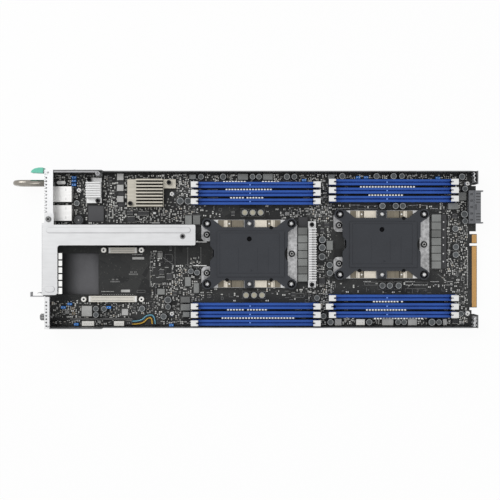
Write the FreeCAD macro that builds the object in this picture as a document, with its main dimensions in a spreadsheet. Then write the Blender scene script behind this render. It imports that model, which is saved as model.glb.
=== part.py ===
import FreeCAD, Part
import Sketcher
import math
import os
import re

# Half-width server sled. X runs from the rear panel to the backplane edge, Y across the sled and Z up from
# the underside of the tray. The origin is the middle of that underside. All sizes are millimetres.

SIZES = {
    "sheet": 1.0,
    "standoff_height": 5.0,
    "standoff_radius": 2.5,
    "board_thickness": 2.0,
    "board_gap": 1.0,
    "cpu1_from_rear": 222.9,
    "cpu_pitch": 147.0,
    "cpu2_to_front": 105.3,
    "cpu1_shift": 4.8,
    "cpu2_shift": 5.6,
    "board_setback": 4.5,
    "tongue_reach": 5.9,
    "tongue_upper": 17.2,
    "tongue_lower": 64.7,
    "key_middle": 5.5,
    "key_width": 2.7,
    "relief_depth": 2.3,
    "relief_width": 3.0,
    "wall_height": 22.0,
    "ear_width": 13.5,
    "ear_height": 23.0,
    "floor_setback": 6.6,
    "panel_height": 38.0,
    "raised_length": 62.0,
    "flange_depth": 9.5,
    "flange_depth_low": 5.6,
    "vent_pitch": 3.7,
    "vent_radius": 1.1,
    "fit_gap": 0.3,
    "bank_reach": 67.0,
    "bank2_upper_reach": 59.5,
    "bank2_lower_reach": 68.3,
    "dimm1_offset": 7.1,
    "dimm2_offset": 11.6,
    "dimm_pitch": 9.25,
    "dimm_width": 6.5,
    "edge_margin": 0.45,
    "dimm_bar_length": 126.2,
    "dimm_bar_height": 10.0,
    "dimm_slot_width": 1.6,
    "dimm_slot_depth": 7.0,
    "tower_length": 6.9,
    "tower_height": 16.0,
    "tower_base": 3.2,
    "cheek": 1.5,
    "latch_pivot": 4.4,
    "latch_foot": 1.6,
    "latch_stem": 2.8,
    "latch_rise": 11.6,
    "latch_head": 3.4,
    "latch_overhang": 3.7,
    "latch_open_angle": 13.0,
    "bolster_length": 106.6,
    "bolster_width": 75.8,
    "bolster_thickness": 2.5,
    "window_length": 82.0,
    "window_width": 58.0,
    "window_shift": 1.6,
    "bolster_waist": 1.6,
    "ear_end": 14.0,
    "post_reach": 46.6,
    "post_spread": 33.5,
    "post_radius": 2.5,
    "post_height": 9.5,
    "screw_reach": 47.2,
    "screw_spread": 21.3,
    "screw_radius": 3.1,
    "screw_height": 2.2,
    "cover_length": 86.4,
    "cover_width": 58.4,
    "cover_lift": 1.7,
    "cover_thickness": 3.2,
    "cover_crown": 1.1,
    "boss_radius": 6.2,
    "can_small": 3.2,
    "can_medium": 3.5,
    "can_large": 3.95,
    "can_height": 7.6,
    "choke_height": 5.2,
    "power_choke_length": 10.2,
    "power_choke_width": 8.0,
    "power_choke_pitch": 8.65,
    "chip_height": 1.6,
    "sink_base": 2.5,
    "jack_width": 17.0,
    "jack_depth": 27.0,
    "jack_height": 13.8,
    "jack_upper": 61.0,
    "jack_lower": 40.2,
    "bracket_out": 2.7,
    "bracket_arm_reach": 164.3,
    "bracket_upper": 26.9,
    "bracket_lower": 4.5,
    "bracket_foot": 49.5,
    "bracket_leg": 17.1,
    "bracket_skirt": 13.5,
    "rib_height": 0.6,
    "cover_sheet": 0.8,
    "slot_low": 25.0,
    "slot_high": 36.5,
    "shelf_height": 22.0,
    "shelf_depth": 11.0,
    "strip_sheet": 0.4,
    "strip_reach": 16.5,
    "riser_board": 1.6,
    "slot_connector_width": 7.5,
    "slot_connector_length": 89.0,
    "handle_place": 73.0,
    "handle_reach": 37.0,
    "handle_rod": 3.2,
    "handle_low": 9.5,
    "handle_high": 31.5,
    "handle_bend": 9.0,
    "lever_pin_from_rear": 57.6,
    "lever_pin_radius": 1.2,
    "lever_eye": 2.4,
    "lever_low": 25.0,
    "lever_high": 36.2,
    "lever_sheet": 1.2,
    "lever_wall_gap": 0.4,
    "lever_travel": 3.6,
    "grip_reach": 14.9,
    "knob_radius": 3.85,
    "knob_length": 6.2,
    "knob_place": 74.3,
    "knob_height": 24.0,
    "shank_radius": 1.9,
    "running_fit": 0.08,
    "wire_radius": 0.7,
}

# Places worked out from the sizes above. Capital words stand for these expressions.
PLACES = {
    "LENGTH": "cpu1_from_rear + cpu_pitch + cpu2_to_front",
    "FRONT": "LENGTH / 2",
    "REAR": "-LENGTH / 2",
    "INSIDE": "REAR + sheet",
    "CPU1_X": "REAR + cpu1_from_rear",
    "CPU2_X": "CPU1_X + cpu_pitch",
    "CPU1_Y": "-cpu1_shift",
    "CPU2_Y": "cpu2_shift",
    "BOARD_HALF": "cpu1_shift + bank_reach + dimm_pitch + dimm_width / 2 + edge_margin",
    "WALL": "BOARD_HALF + board_gap",
    "TRAY_HALF": "WALL + sheet",
    "BOARD_LOW": "sheet + standoff_height",
    "BOARD": "BOARD_LOW + board_thickness",
    "BOARD_REAR": "INSIDE + board_gap",
    "BOARD_FRONT": "FRONT - board_setback",
    "TONGUE": "BOARD_FRONT + tongue_reach",
    "DIMM1_X": "CPU1_X + dimm1_offset",
    "DIMM2_X": "CPU2_X + dimm2_offset",
    "BOLSTER": "BOARD + bolster_thickness",
    "SINK": "BOARD + chip_height",
    "FLANGE": "panel_height - sheet",
    "BRACKET_OUT": "REAR - bracket_out",
    "BRACKET_END": "REAR + bracket_arm_reach",
    "BRACKET_LEG": "BRACKET_OUT + bracket_leg",
    "COVER_X": "BRACKET_OUT + sheet",
    "RISER_Y": "bracket_upper - sheet - riser_board / 2",
    "SLOT_MIDDLE": "REAR + 102.1",
    "LEVER_X": "REAR + lever_pin_from_rear",
    "ARM_OUT": "WALL - lever_wall_gap",
    "ARM_IN": "ARM_OUT - lever_sheet",
    "LEVER_Y": "ARM_OUT - lever_eye",
    "EDGE_LANE": "BOARD_HALF - 4.15",
}

BANKS = [
    ("1_upper", "DIMM1_X", "CPU1_Y + bank_reach"),
    ("1_lower", "DIMM1_X", "CPU1_Y - bank_reach"),
    ("2_upper", "DIMM2_X", "CPU2_Y + bank2_upper_reach"),
    ("2_lower", "DIMM2_X", "CPU2_Y - bank2_lower_reach"),
]
OPEN_LATCH = "latch_2_lower_2_rear"
SOCKETS = [("cpu_1", "CPU1_X", "CPU1_Y"), ("cpu_2", "CPU2_X", "CPU2_Y")]

CAPACITORS = [
    ("CPU1_X - 5.0", "CPU1_Y + 45.7", "can_medium"),
    ("CPU1_X + 3.8", "CPU1_Y + 45.7", "can_medium"),
    ("CPU1_X + 12.6", "CPU1_Y + 45.7", "can_medium"),
    ("CPU1_X - 3.6", "CPU1_Y - 45.9", "can_medium"),
    ("CPU1_X + 5.3", "CPU1_Y - 45.9", "can_medium"),
    ("CPU1_X + 14.1", "CPU1_Y - 45.9", "can_medium"),
    ("CPU2_X + 0.6", "CPU2_Y + 42.6", "can_medium"),
    ("CPU2_X + 15.3", "CPU2_Y + 42.6", "can_medium"),
    ("CPU2_X + 23.1", "CPU2_Y + 42.6", "can_medium"),
    ("CPU2_X + 0.6", "CPU2_Y - 45.7", "can_medium"),
    ("CPU2_X + 8.7", "CPU2_Y - 45.7", "can_medium"),
    ("CPU2_X + 18.5", "CPU2_Y - 45.7", "can_medium"),
    ("CPU1_X - 53.5", "EDGE_LANE", "can_small"),
    ("CPU1_X - 29.0", "EDGE_LANE", "can_medium"),
    ("CPU1_X + 3.6", "EDGE_LANE", "can_small"),
    ("CPU1_X + 10.7", "EDGE_LANE", "can_small"),
    ("CPU1_X + 41.7", "EDGE_LANE", "can_medium"),
    ("CPU1_X + 49.9", "EDGE_LANE", "can_small"),
    ("CPU2_X - 43.9", "EDGE_LANE + 0.6", "can_medium"),
    ("CPU2_X - 5.9", "EDGE_LANE + 0.6", "can_medium"),
    ("CPU2_X + 13.0", "EDGE_LANE + 0.6", "can_medium"),
    ("CPU2_X + 22.2", "EDGE_LANE + 0.6", "can_small"),
    ("BOARD_FRONT - 11.9", "EDGE_LANE", "can_medium"),
    ("CPU2_X - 57.0", "-EDGE_LANE", "can_medium"),
    ("CPU2_X - 14.0", "-EDGE_LANE", "can_medium"),
    ("CPU2_X + 17.9", "-EDGE_LANE", "can_small"),
    ("CPU2_X + 24.5", "-EDGE_LANE", "can_small"),
    ("CPU2_X + 55.5", "-EDGE_LANE", "can_large"),
    ("CPU2_X + 63.3", "-EDGE_LANE", "can_small"),
    ("CPU2_X - 66.0", "CPU2_Y + 5.1", "can_large"),
    ("CPU2_X - 66.2", "CPU2_Y - 3.5", "can_large"),
    ("CPU2_X - 66.4", "CPU2_Y - 13.7", "can_large"),
    ("CPU2_X - 57.8", "CPU2_Y - 22.9", "can_medium"),
    ("CPU2_X - 57.8", "CPU2_Y - 31.8", "can_medium"),
    ("CPU2_X - 71.9", "CPU1_Y - 48.9", "can_small"),
    ("CPU2_X - 64.8", "CPU1_Y - 69.1", "can_small"),
    ("CPU1_X - 76.5", "CPU1_Y + 58.4", "can_large"),
    ("CPU1_X - 67.9", "CPU1_Y + 58.4", "can_large"),
    ("CPU1_X - 64.8", "CPU1_Y - 19.4", "can_small"),
    ("CPU1_X - 57.9", "CPU1_Y - 20.8", "can_small"),
    ("CPU1_X - 90.2", "CPU1_Y - 51.2", "can_large"),
    ("CPU1_X - 90.0", "CPU1_Y - 58.8", "can_small"),
    ("CPU1_X - 95.0", "CPU1_Y - 69.5", "can_medium"),
    ("REAR + 104.0", "CPU1_Y - 60.9", "can_medium"),
    ("REAR + 52.9", "CPU1_Y - 60.9", "can_small"),
    ("REAR + 61.9", "CPU1_Y - 61.1", "can_small"),
    ("REAR + 52.9", "CPU1_Y - 67.7", "can_small"),
    ("REAR + 31.7", "jack_upper - 9.7", "can_small"),
    ("BOARD_FRONT - 8.5", "CPU2_Y + 61.7", "can_small"),
    ("BOARD_FRONT - 9.3", "CPU2_Y + 33.5", "can_large"),
    ("BOARD_FRONT - 8.5", "CPU2_Y + 25.8", "can_small"),
    ("BOARD_FRONT - 19.4", "CPU2_Y + 17.3", "can_medium"),
    ("BOARD_FRONT - 18.8", "CPU2_Y - 2.7", "can_medium"),
    ("BOARD_FRONT - 19.0", "CPU2_Y - 11.4", "can_medium"),
    ("BOARD_FRONT - 13.2", "CPU2_Y - 76.9", "can_small"),
]

# Chokes away from the two regulator columns: middle, length along X, width along Y.
CHOKES = [
    ("CPU1_X - 7.1", "EDGE_LANE", 11.4, 6.7),
    ("CPU1_X + 20.6", "EDGE_LANE", 11.0, 6.7),
    ("CPU1_X - 62.9", "EDGE_LANE", 7.0, 5.0),
    ("CPU2_X - 56.0", "EDGE_LANE", 7.1, 5.3),
    ("CPU2_X - 48.3", "-EDGE_LANE", 7.4, 7.4),
    ("CPU2_X + 6.8", "-EDGE_LANE", 12.4, 7.2),
    ("CPU2_X + 34.2", "-EDGE_LANE", 10.0, 7.2),
    ("CPU2_X + 70.2", "-EDGE_LANE", 4.2, 7.0),
    ("CPU1_X - 67.6", "CPU1_Y + 37.6", 7.4, 10.0),
    ("CPU1_X - 58.6", "CPU1_Y + 37.6", 8.0, 10.0),
    ("CPU1_X - 71.0", "CPU1_Y - 51.0", 10.2, 6.4),
    ("CPU1_X - 71.0", "CPU1_Y - 59.4", 10.2, 7.0),
    ("CPU1_X - 70.0", "CPU1_Y - 67.4", 7.4, 5.6),
    ("CPU1_X - 98.0", "CPU1_Y - 42.1", 8.2, 6.4),
    ("CPU1_X - 68.2", "CPU1_Y - 30.9", 6.4, 10.2),
    ("CPU1_X - 58.8", "CPU1_Y - 38.0", 5.8, 11.0),
    ("CPU2_X - 57.8", "CPU2_Y - 1.0", 6.8, 10.2),
    ("REAR + 42.5", "CPU1_Y - 63.7", 11.4, 11.4),
    ("REAR + 84.8", "CPU1_Y - 64.8", 6.9, 6.9),
    ("REAR + 79.6", "EDGE_LANE", 7.2, 7.2),
    ("REAR + 79.6", "EDGE_LANE - 12.2", 7.2, 7.0),
    ("REAR + 79.6", "EDGE_LANE - 24.6", 7.2, 6.7),
    ("BOARD_FRONT - 21.2", "CPU2_Y + 42.4", 11.4, 6.7),
    ("BOARD_FRONT - 11.1", "CPU2_Y + 53.4", 8.8, 9.0),
]

# Flat packages on the board: middle, length, width.
CHIPS = [
    ("REAR + 52.2", "jack_lower - 0.2", 18.0, 18.0),
    ("REAR + 80.2", "EDGE_LANE - 6.1", 6.1, 4.2),
    ("REAR + 80.2", "EDGE_LANE - 18.2", 6.1, 4.6),
    ("REAR + 80.2", "EDGE_LANE - 30.4", 6.1, 3.9),
    ("CPU1_X + 59.9", "CPU1_Y + 35.3", 10.2, 11.0),
    ("REAR + 112.2", "EDGE_LANE - 18.0", 22.0, 22.0),
    ("REAR + 50.3", "EDGE_LANE - 15.4", 15.0, 15.0),
    ("CPU1_X + 69.7", "CPU1_Y - 1.0", 5.0, 58.0),
    ("CPU2_X + 69.6", "CPU2_Y + 3.2", 5.4, 60.0),
]

# White shrouded headers along the lower board edge: middle, length, width.
HEADERS = [
    ("REAR + 43.8", "-EDGE_LANE - 1.6", 13.2, 5.0),
    ("REAR + 78.2", "-EDGE_LANE - 1.6", 11.0, 5.0),
    ("REAR + 88.7", "-EDGE_LANE - 0.9", 7.6, 4.8),
    ("CPU2_X - 23.5", "-EDGE_LANE", 9.4, 6.4),
]

# Standoffs that carry the board. The flag says whether a screw head shows on top.
SUPPORTS = [
    ("REAR + 33.2", "EDGE_LANE - 14.6", True),
    ("CPU1_X - 86.2", "EDGE_LANE - 18.8", True),
    ("CPU1_X - 86.2", "CPU1_Y - 66.8", True),
    ("BOARD_FRONT - 4.9", "EDGE_LANE - 7.2", True),
    ("BOARD_FRONT - 4.9", "9.0 - EDGE_LANE", True),
    ("REAR + 22.0", "-EDGE_LANE", False),
    ("CPU1_X", "CPU1_Y + 45.0", False),
    ("CPU1_X", "CPU1_Y - 45.0", False),
    ("CPU2_X", "CPU2_Y + 45.0", False),
    ("CPU2_X", "CPU2_Y - 45.0", False),
]

MEZZANINE = [("REAR + 82.4", -1.0, 31.2, 6.3), ("REAR + 71.4", -55.0, 53.3, 6.6)]
MEZZANINE_POSTS = [
    ("REAR + 61.3", -0.7),
    ("REAR + 103.1", -0.7),
    ("REAR + 39.1", -55.3),
    ("REAR + 103.2", -55.3),
]
PIN_HEAD = (2.7, 4.2)
PUSH_PINS = [
    ("REAR + 133.8", "EDGE_LANE - 6.3", "SINK + sink_base"),
    ("REAR + 90.9", "EDGE_LANE - 29.5", "SINK + sink_base"),
    ("REAR + 45.4", "EDGE_LANE - 3.1", "SINK + sink_base"),
    ("REAR + 55.0", "EDGE_LANE - 26.6", "SINK + sink_base"),
    ("CPU1_X + 69.5", "CPU1_Y + 32.4", "SINK + sink_base"),
    ("CPU1_X + 69.5", "CPU1_Y - 34.4", "SINK + sink_base"),
]

doc = FreeCAD.newDocument("server_sled")
dims = doc.addObject("Spreadsheet::Sheet", "Dims")
for row, (alias, size) in enumerate(SIZES.items(), 1):
    dims.set(f"A{row}", alias)
    dims.set(f"B{row}", str(size))
    dims.setAlias(f"B{row}", alias)
doc.recompute()

WORD = re.compile(r"[A-Za-z_][A-Za-z_0-9]*")
nodes = {}


def ex(text):
    """The expression with each size and place written out as cells of the sheet."""

    def word(match):
        name = match.group()
        return f"Dims.{name}" if name in SIZES else f"({ex(PLACES[name])})"

    return WORD.sub(word, str(text))


def number(text):
    return float(dims.evalExpression(ex(text)))


def bind(obj, **sizes):
    for name, text in sizes.items():
        obj.setExpression(name, ex(text))


def place(obj, x=0, y=0, z=0):
    for axis, text in zip("xyz", (x, y, z)):
        obj.setExpression(f"Placement.Base.{axis}", ex(text))


def keep(name, obj):
    obj.Label = name
    nodes[name] = obj
    return obj


def group(name, members):
    compound = doc.addObject("Part::Compound", name)
    compound.Links = members
    return keep(name, compound)


def body(name):
    return doc.addObject("PartDesign::Body", name)


def origin(owner, role):
    return next(f for f in owner.Origin.OriginFeatures if f.Role == role)


def rect(x0, y0, x1, y1):
    return [(x0, y0), (x1, y0), (x1, y1), (x0, y1)]


def rect_at(x, y, length, width):
    return rect(f"({x}) - ({length}) / 2", f"({y}) - ({width}) / 2",
                f"({x}) + ({length}) / 2", f"({y}) + ({width}) / 2")


def polygon(x, y, radius, sides):
    corners = []
    for i in range(sides):
        turn = 2 * math.pi * (i + 0.5) / sides
        along, across = math.cos(turn), math.sin(turn)
        corners.append((f"{x} + ({radius}) * ({along:.4f})", f"{y} + ({radius}) * ({across:.4f})"))
    return corners


def hexagon(x, y, radius):
    return polygon(x, y, radius, 6)


def pin(sketch, kind, geometry, point, text):
    at = sketch.addConstraint(Sketcher.Constraint(kind, -1, 1, geometry, point, number(text)))
    sketch.setExpression(f"Constraints[{at}]", ex(text))


def draw_loop(sketch, loop):
    corners = [FreeCAD.Vector(number(x), number(y), 0) for x, y in loop]
    first = sketch.GeometryCount
    count = len(loop)
    for i in range(count):
        sketch.addGeometry(Part.LineSegment(corners[i], corners[(i + 1) % count]), False)
    for i in range(count):
        following = first + (i + 1) % count
        sketch.addConstraint(Sketcher.Constraint("Coincident", first + i, 2, following, 1))
    for i, (x, y) in enumerate(loop):
        pin(sketch, "DistanceX", first + i, 1, x)
        pin(sketch, "DistanceY", first + i, 1, y)


def draw_circle(sketch, x, y, radius):
    middle = FreeCAD.Vector(number(x), number(y), 0)
    at = sketch.addGeometry(Part.Circle(middle, FreeCAD.Vector(0, 0, 1), number(radius)), False)
    pin(sketch, "DistanceX", at, 3, x)
    pin(sketch, "DistanceY", at, 3, y)
    size = sketch.addConstraint(Sketcher.Constraint("Radius", at, number(radius)))
    sketch.setExpression(f"Constraints[{size}]", ex(radius))


def slab(owner, plane, loops, low, high, cut=False, circles=()):
    """Material, or a cut, with the given outline between two levels across a plane of the body."""
    sketch = owner.newObject("Sketcher::SketchObject", "Outline")
    sketch.AttachmentSupport = [(origin(owner, f"{plane}_Plane"), "")]
    sketch.MapMode = "FlatFace"
    start = high if cut else low
    if plane == "XZ":
        start = f"-({low})" if cut else f"-({high})"
    sketch.setExpression("AttachmentOffset.Base.z", ex(start))
    for loop in loops:
        draw_loop(sketch, loop)
    for x, y, radius in circles:
        draw_circle(sketch, x, y, radius)
    feature = owner.newObject("PartDesign::Pocket" if cut else "PartDesign::Pad", "Cut" if cut else "Slab")
    feature.Profile = sketch
    bind(feature, Length=f"({high}) - ({low})")
    owner.Tip = feature
    return feature


def repeat(owner, feature, axis, span, count):
    """Copies of a feature spread evenly over a span along an axis of the body."""
    pattern = owner.newObject("PartDesign::LinearPattern", "Row")
    pattern.Originals = [feature]
    pattern.Direction = (origin(owner, f"{axis}_Axis"), [""])
    bind(pattern, Length=span, Occurrences=count)
    owner.Tip = pattern
    return pattern


def soften(owner, corners, radius):
    """Rounds the upright edges at the given corners."""
    doc.recompute()
    spots = [(number(x), number(y)) for x, y in corners]
    picked = []
    for i, edge in enumerate(owner.Shape.Edges, 1):
        box = edge.BoundBox
        upright = box.XLength < 0.01 and box.YLength < 0.01
        if upright and any(abs(box.XMin - x) < 0.05 and abs(box.YMin - y) < 0.05 for x, y in spots):
            picked.append(f"Edge{i}")
    base = owner.Tip
    fillet = owner.newObject("PartDesign::Fillet", "Round")
    fillet.Base = (base, picked)
    bind(fillet, Radius=radius)
    owner.Tip = fillet


def block(x, y, z, length, width, height):
    """A block whose middle in plan is at x, y and whose foot is at z."""
    solid = doc.addObject("Part::Box", "Block")
    bind(solid, Length=length, Width=width, Height=height)
    place(solid, f"({x}) - ({length}) / 2", f"({y}) - ({width}) / 2", z)
    return solid


def post(x, y, z, radius, height):
    solid = doc.addObject("Part::Cylinder", "Post")
    bind(solid, Radius=radius, Height=height)
    place(solid, x, y, z)
    return solid


def facets(x, y, z, radius, height, sides):
    """A post with flat sides, for hexagonal standoffs and for small round parts that repeat."""
    solid = doc.addObject("Part::Prism", "Post")
    solid.Polygon = sides
    bind(solid, Circumradius=radius, Height=height)
    place(solid, x, y, z)
    return solid


def copy_at(master, x, y, z, turn=None):
    link = doc.addObject("App::Link", "Copy")
    link.LinkedObject = master
    if turn:
        link.Placement = FreeCAD.Placement(FreeCAD.Vector(), turn)
    place(link, x, y, z)
    return link


def make_tray():
    tray = body("tray")
    section = [("-TRAY_HALF", 0), ("TRAY_HALF", 0), ("TRAY_HALF", "wall_height"), ("WALL", "wall_height"),
               ("WALL", "sheet"), ("-WALL", "sheet"), ("-WALL", "wall_height"), ("-TRAY_HALF", "wall_height")]
    slab(tray, "YZ", [section], "INSIDE", "FRONT")
    middle = "WALL - ear_width"
    front_edge = rect("FRONT - floor_setback", f"-({middle})", "FRONT + 1", middle)
    slab(tray, "XY", [front_edge], 0, "sheet", cut=True)
    ears = [rect(middle, 0, "TRAY_HALF", "ear_height"), rect("-TRAY_HALF", 0, f"-({middle})", "ear_height")]
    slab(tray, "YZ", ears, "FRONT - sheet", "FRONT")
    raised = rect("INSIDE", "wall_height - sheet", "REAR + raised_length", "FLANGE")
    slab(tray, "XZ", [raised], "WALL", "TRAY_HALF")
    slab(tray, "XZ", [raised], "-TRAY_HALF", "-WALL")
    window = rect("LEVER_X - 34", "lever_low + 1.5", "LEVER_X - 23", "lever_high - 1.5")
    slab(tray, "XZ", [window], "WALL", "TRAY_HALF", cut=True)
    seat = rect("LEVER_X - 4", "LEVER_Y - lever_eye", "LEVER_X + 3.5", "WALL")
    slab(tray, "XY", [seat], "wall_height", "wall_height + sheet")
    lead_in = [("FRONT - 9", "wall_height"), ("FRONT - sheet", "wall_height - 6"),
               ("FRONT - sheet", "wall_height")]
    slab(tray, "XZ", [lead_in], "-TRAY_HALF", "-WALL", cut=True)
    slab(tray, "XZ", [lead_in], "WALL", "TRAY_HALF", cut=True)
    keep("tray", tray)


def make_rear_panel():
    panel = body("rear_panel")
    slab(panel, "YZ", [rect("-TRAY_HALF", 0, "TRAY_HALF", "panel_height")], "REAR", "INSIDE")
    slab(panel, "XY", [rect("REAR", "bracket_upper + 1.5", "REAR + flange_depth", "TRAY_HALF")],
         "FLANGE", "panel_height")
    slab(panel, "XY", [rect("REAR", "-TRAY_HALF", "REAR + flange_depth_low", "-bracket_foot - 2.2")],
         "FLANGE", "panel_height")
    slab(panel, "XY", [rect("REAR", -49, "INSIDE + shelf_depth", -4)], "shelf_height - sheet", "shelf_height")
    feet = [rect("REAR", y, "INSIDE + 10", f"{y} + 14") for y in ("-WALL + 6", "WALL - 30")]
    slab(panel, "XY", feet, "sheet", "2 * sheet")
    notch = rect("-bracket_foot - 1", "shelf_height + 1.5", "bracket_upper + 0.1", "panel_height + 1")
    slab(panel, "YZ", [notch], "REAR", "INSIDE", cut=True)
    jacks = [rect(f"{y} - jack_width / 2 - fit_gap", "BOARD - fit_gap",
                  f"{y} + jack_width / 2 + fit_gap", "BOARD + jack_height + fit_gap")
             for y in ("jack_upper", "jack_lower")]
    card = rect(-47, "BOARD + 1.5", -6, "shelf_height - sheet - 0.5")
    lever = rect("ARM_IN - lever_travel", "lever_low - 0.8", "WALL", "FLANGE")
    slab(panel, "YZ", jacks + [card, lever], "REAR", "INSIDE", cut=True,
         circles=[("-knob_place", "knob_height", "shank_radius + running_fit")])
    upper_row = slab(panel, "XY", [hexagon("REAR + 2.2", "bracket_upper + 14", "vent_radius")],
                     "FLANGE", "panel_height", cut=True)
    repeat(panel, upper_row, "Y", "vent_pitch * 11", 12)
    lower_row = slab(panel, "XY", [hexagon("REAR + 2.2", "3.5 - TRAY_HALF", "vent_radius")],
                     "FLANGE", "panel_height", cut=True)
    repeat(panel, lower_row, "Y", "vent_pitch * 7", 8)
    for level in ("shelf_height + 6", "shelf_height + 11.5"):
        vents = [("4.5 - TRAY_HALF", "vent_pitch", 1), ("10 - knob_place", "vent_pitch * 3", 3),
                 ("jack_lower - 4.2", "vent_pitch * 6", 6)]
        for y, span, count in vents:
            vent = slab(panel, "YZ", [hexagon(y, level, "vent_radius + 0.9")], "REAR", "INSIDE", cut=True)
            if count > 1:
                repeat(panel, vent, "Y", span, count)
    keep("rear_panel", panel)


def make_board():
    sheet = body("insulator_sheet")
    slab(sheet, "XY", [rect("BOARD_REAR + 2", -62, "REAR + 92", 6)], "sheet", "sheet + strip_sheet")
    keep("insulator_sheet", sheet)

    board = body("mainboard")
    key_low = "key_middle - key_width / 2"
    key_high = "key_middle + key_width / 2"
    pocket_x = "BOARD_FRONT - relief_depth"
    outline = [
        ("BOARD_REAR", "-BOARD_HALF"), ("BOARD_FRONT", "-BOARD_HALF"),
        ("BOARD_FRONT", "-tongue_lower - relief_width"), (pocket_x, "-tongue_lower - relief_width"),
        (pocket_x, "-tongue_lower"), ("TONGUE", "-tongue_lower"),
        ("TONGUE", key_low), (pocket_x, key_low), (pocket_x, key_high), ("TONGUE", key_high),
        ("TONGUE", "tongue_upper"), (pocket_x, "tongue_upper"), (pocket_x, "tongue_upper + relief_width"),
        ("TONGUE - 1.1", "tongue_upper + relief_width"), ("TONGUE - 1.1", "EDGE_LANE - 9.8"),
        ("BOARD_FRONT", "EDGE_LANE - 9.8"), ("BOARD_FRONT", "BOARD_HALF"), ("BOARD_REAR", "BOARD_HALF"),
        ("BOARD_REAR", -4.5), ("REAR + 54.8", -4.5), ("REAR + 54.8", -50.2), ("BOARD_REAR", -50.2),
    ]
    slab(board, "XY", [outline], "BOARD_LOW", "BOARD")
    keep("mainboard", board)

    strips = []
    for low, high in (("-tongue_lower", key_low), (key_high, "tongue_upper")):
        for foot in ("BOARD", "BOARD_LOW - 0.1"):
            middle = f"(({low}) + ({high})) / 2"
            strips.append(block("BOARD_FRONT + tongue_reach / 2", middle, foot,
                                "tongue_reach - 0.8", f"({high}) - ({low}) - 1.2", 0.1))
    group("edge_contacts", strips)


def make_connector():
    end = body("backplane_connector")
    section = [("BOARD_FRONT - 4.8", "BOARD"), ("TONGUE - 1.1", "BOARD"), ("TONGUE + 2.1", "BOARD + 0.6"),
               ("TONGUE + 2.1", "BOARD + 11.5"), ("BOARD_FRONT + 1.2", "BOARD + 11.5"),
               ("BOARD_FRONT + 0.4", "BOARD + 10.2"), ("BOARD_FRONT - 4.8", "BOARD + 10.2")]
    low = "tongue_upper + 11.6"
    high = "EDGE_LANE - 15.3"
    slab(end, "XZ", [section], low, high)
    plates = [rect("BOARD_FRONT + 1.2", low, "TONGUE + 4.9", f"{low} + 1.4"),
              rect("BOARD_FRONT + 1.2", f"{high} - 1.4", "TONGUE + 4.9", high)]
    slab(end, "XY", plates, "BOARD + 1.5", "BOARD + 10.5")
    blade = slab(end, "YZ", [rect(f"{low} + 3.2", "BOARD + 2.2", f"{low} + 6.6", "BOARD + 9.6")],
                 "BOARD_FRONT + 2", "TONGUE + 2.2", cut=True)
    repeat(end, blade, "Y", 26.4, 7)
    groove = slab(end, "XY", [rect("BOARD_FRONT - 3.4", f"{low} + 2.6", "BOARD_FRONT - 0.6", f"{low} + 5")],
                  "BOARD + 8.8", "BOARD + 10.2", cut=True)
    repeat(end, groove, "Y", 28.5, 5)
    keep("backplane_connector", end)


def make_memory():
    master = body("memory_socket_master")
    half = "dimm_width / 2"
    slot = "dimm_slot_width / 2"
    floor = "dimm_bar_height - dimm_slot_depth"
    trough = [(f"-{half}", 0), (half, 0), (half, "dimm_bar_height"), (slot, "dimm_bar_height"), (slot, floor),
              (f"-{slot}", floor), (f"-{slot}", "dimm_bar_height"), (f"-{half}", "dimm_bar_height")]
    slab(master, "YZ", [trough], "-dimm_bar_length / 2", "dimm_bar_length / 2")
    inner = "dimm_bar_length / 2"
    outer = "dimm_bar_length / 2 + tower_length"
    for low, high in ((inner, outer), (f"-({outer})", f"-({inner})")):
        slab(master, "YZ", [rect(f"-{half}", 0, half, "tower_base")], low, high)
        cheeks = [rect(f"{half} - cheek", "tower_base - 0.2", half, "tower_height"),
                  rect(f"-{half}", "tower_base - 0.2", f"cheek - {half}", "tower_height")]
        slab(master, "YZ", cheeks, low, high)
    slab(master, "XY", [rect(-7.2, f"-{slot}", -5.2, slot)], floor, "dimm_bar_height")

    latch = body("latch_master")
    stem_half = "latch_stem / 2"
    thick = "dimm_width / 2 - cheek - 0.15"
    slab(latch, "XZ", [polygon(0, 0, "latch_foot", 10)], f"-({thick})", thick)
    slab(latch, "XZ", [rect(f"-{stem_half}", 0, stem_half, "latch_rise + 0.2")], f"-({thick})", thick)
    top = "latch_rise + latch_head"
    reach = "latch_overhang"
    inward = "-latch_pivot + 0.2"
    head = [(inward, "latch_rise"), (f"{reach} - 1.1", "latch_rise"), (reach, "latch_rise + 1.2"),
            (reach, top), (f"{inward} + 1", top), (inward, f"{top} - 1")]
    slab(latch, "XZ", [head], "0.1 - dimm_width / 2", "dimm_width / 2 - 0.1")
    slab(latch, "XY", [rect(inward, -0.9, f"{inward} + 2.4", 0.9)], "latch_rise", top, cut=True)
    hook = [(f"-{stem_half} - 1.2", 8.2), (f"-{stem_half} + 0.2", 7), (f"-{stem_half} + 0.2", 9)]
    slab(latch, "XZ", [hook], -0.8, 0.8)

    sockets = []
    turn_rear = FreeCAD.Rotation(FreeCAD.Vector(0, 0, 1), 180)
    lean = FreeCAD.Rotation(FreeCAD.Vector(0, 1, 0), number("latch_open_angle"))
    pivot = "dimm_bar_length / 2 + latch_pivot"
    foot = "BOARD + tower_base + latch_foot + 0.2"
    for bank, x, y in BANKS:
        for row in (1, 2, 3):
            across = f"{y} + ({2 - row}) * dimm_pitch"
            sockets.append(copy_at(master, x, across, "BOARD"))
            front = copy_at(latch, f"{x} + {pivot}", across, foot)
            keep(f"latch_{bank}_{row}_front", front)
            name = f"latch_{bank}_{row}_rear"
            turn = turn_rear * lean if name == OPEN_LATCH else turn_rear
            keep(name, copy_at(latch, f"{x} - ({pivot})", across, foot, turn))
    group("memory_sockets", sockets)


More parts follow.
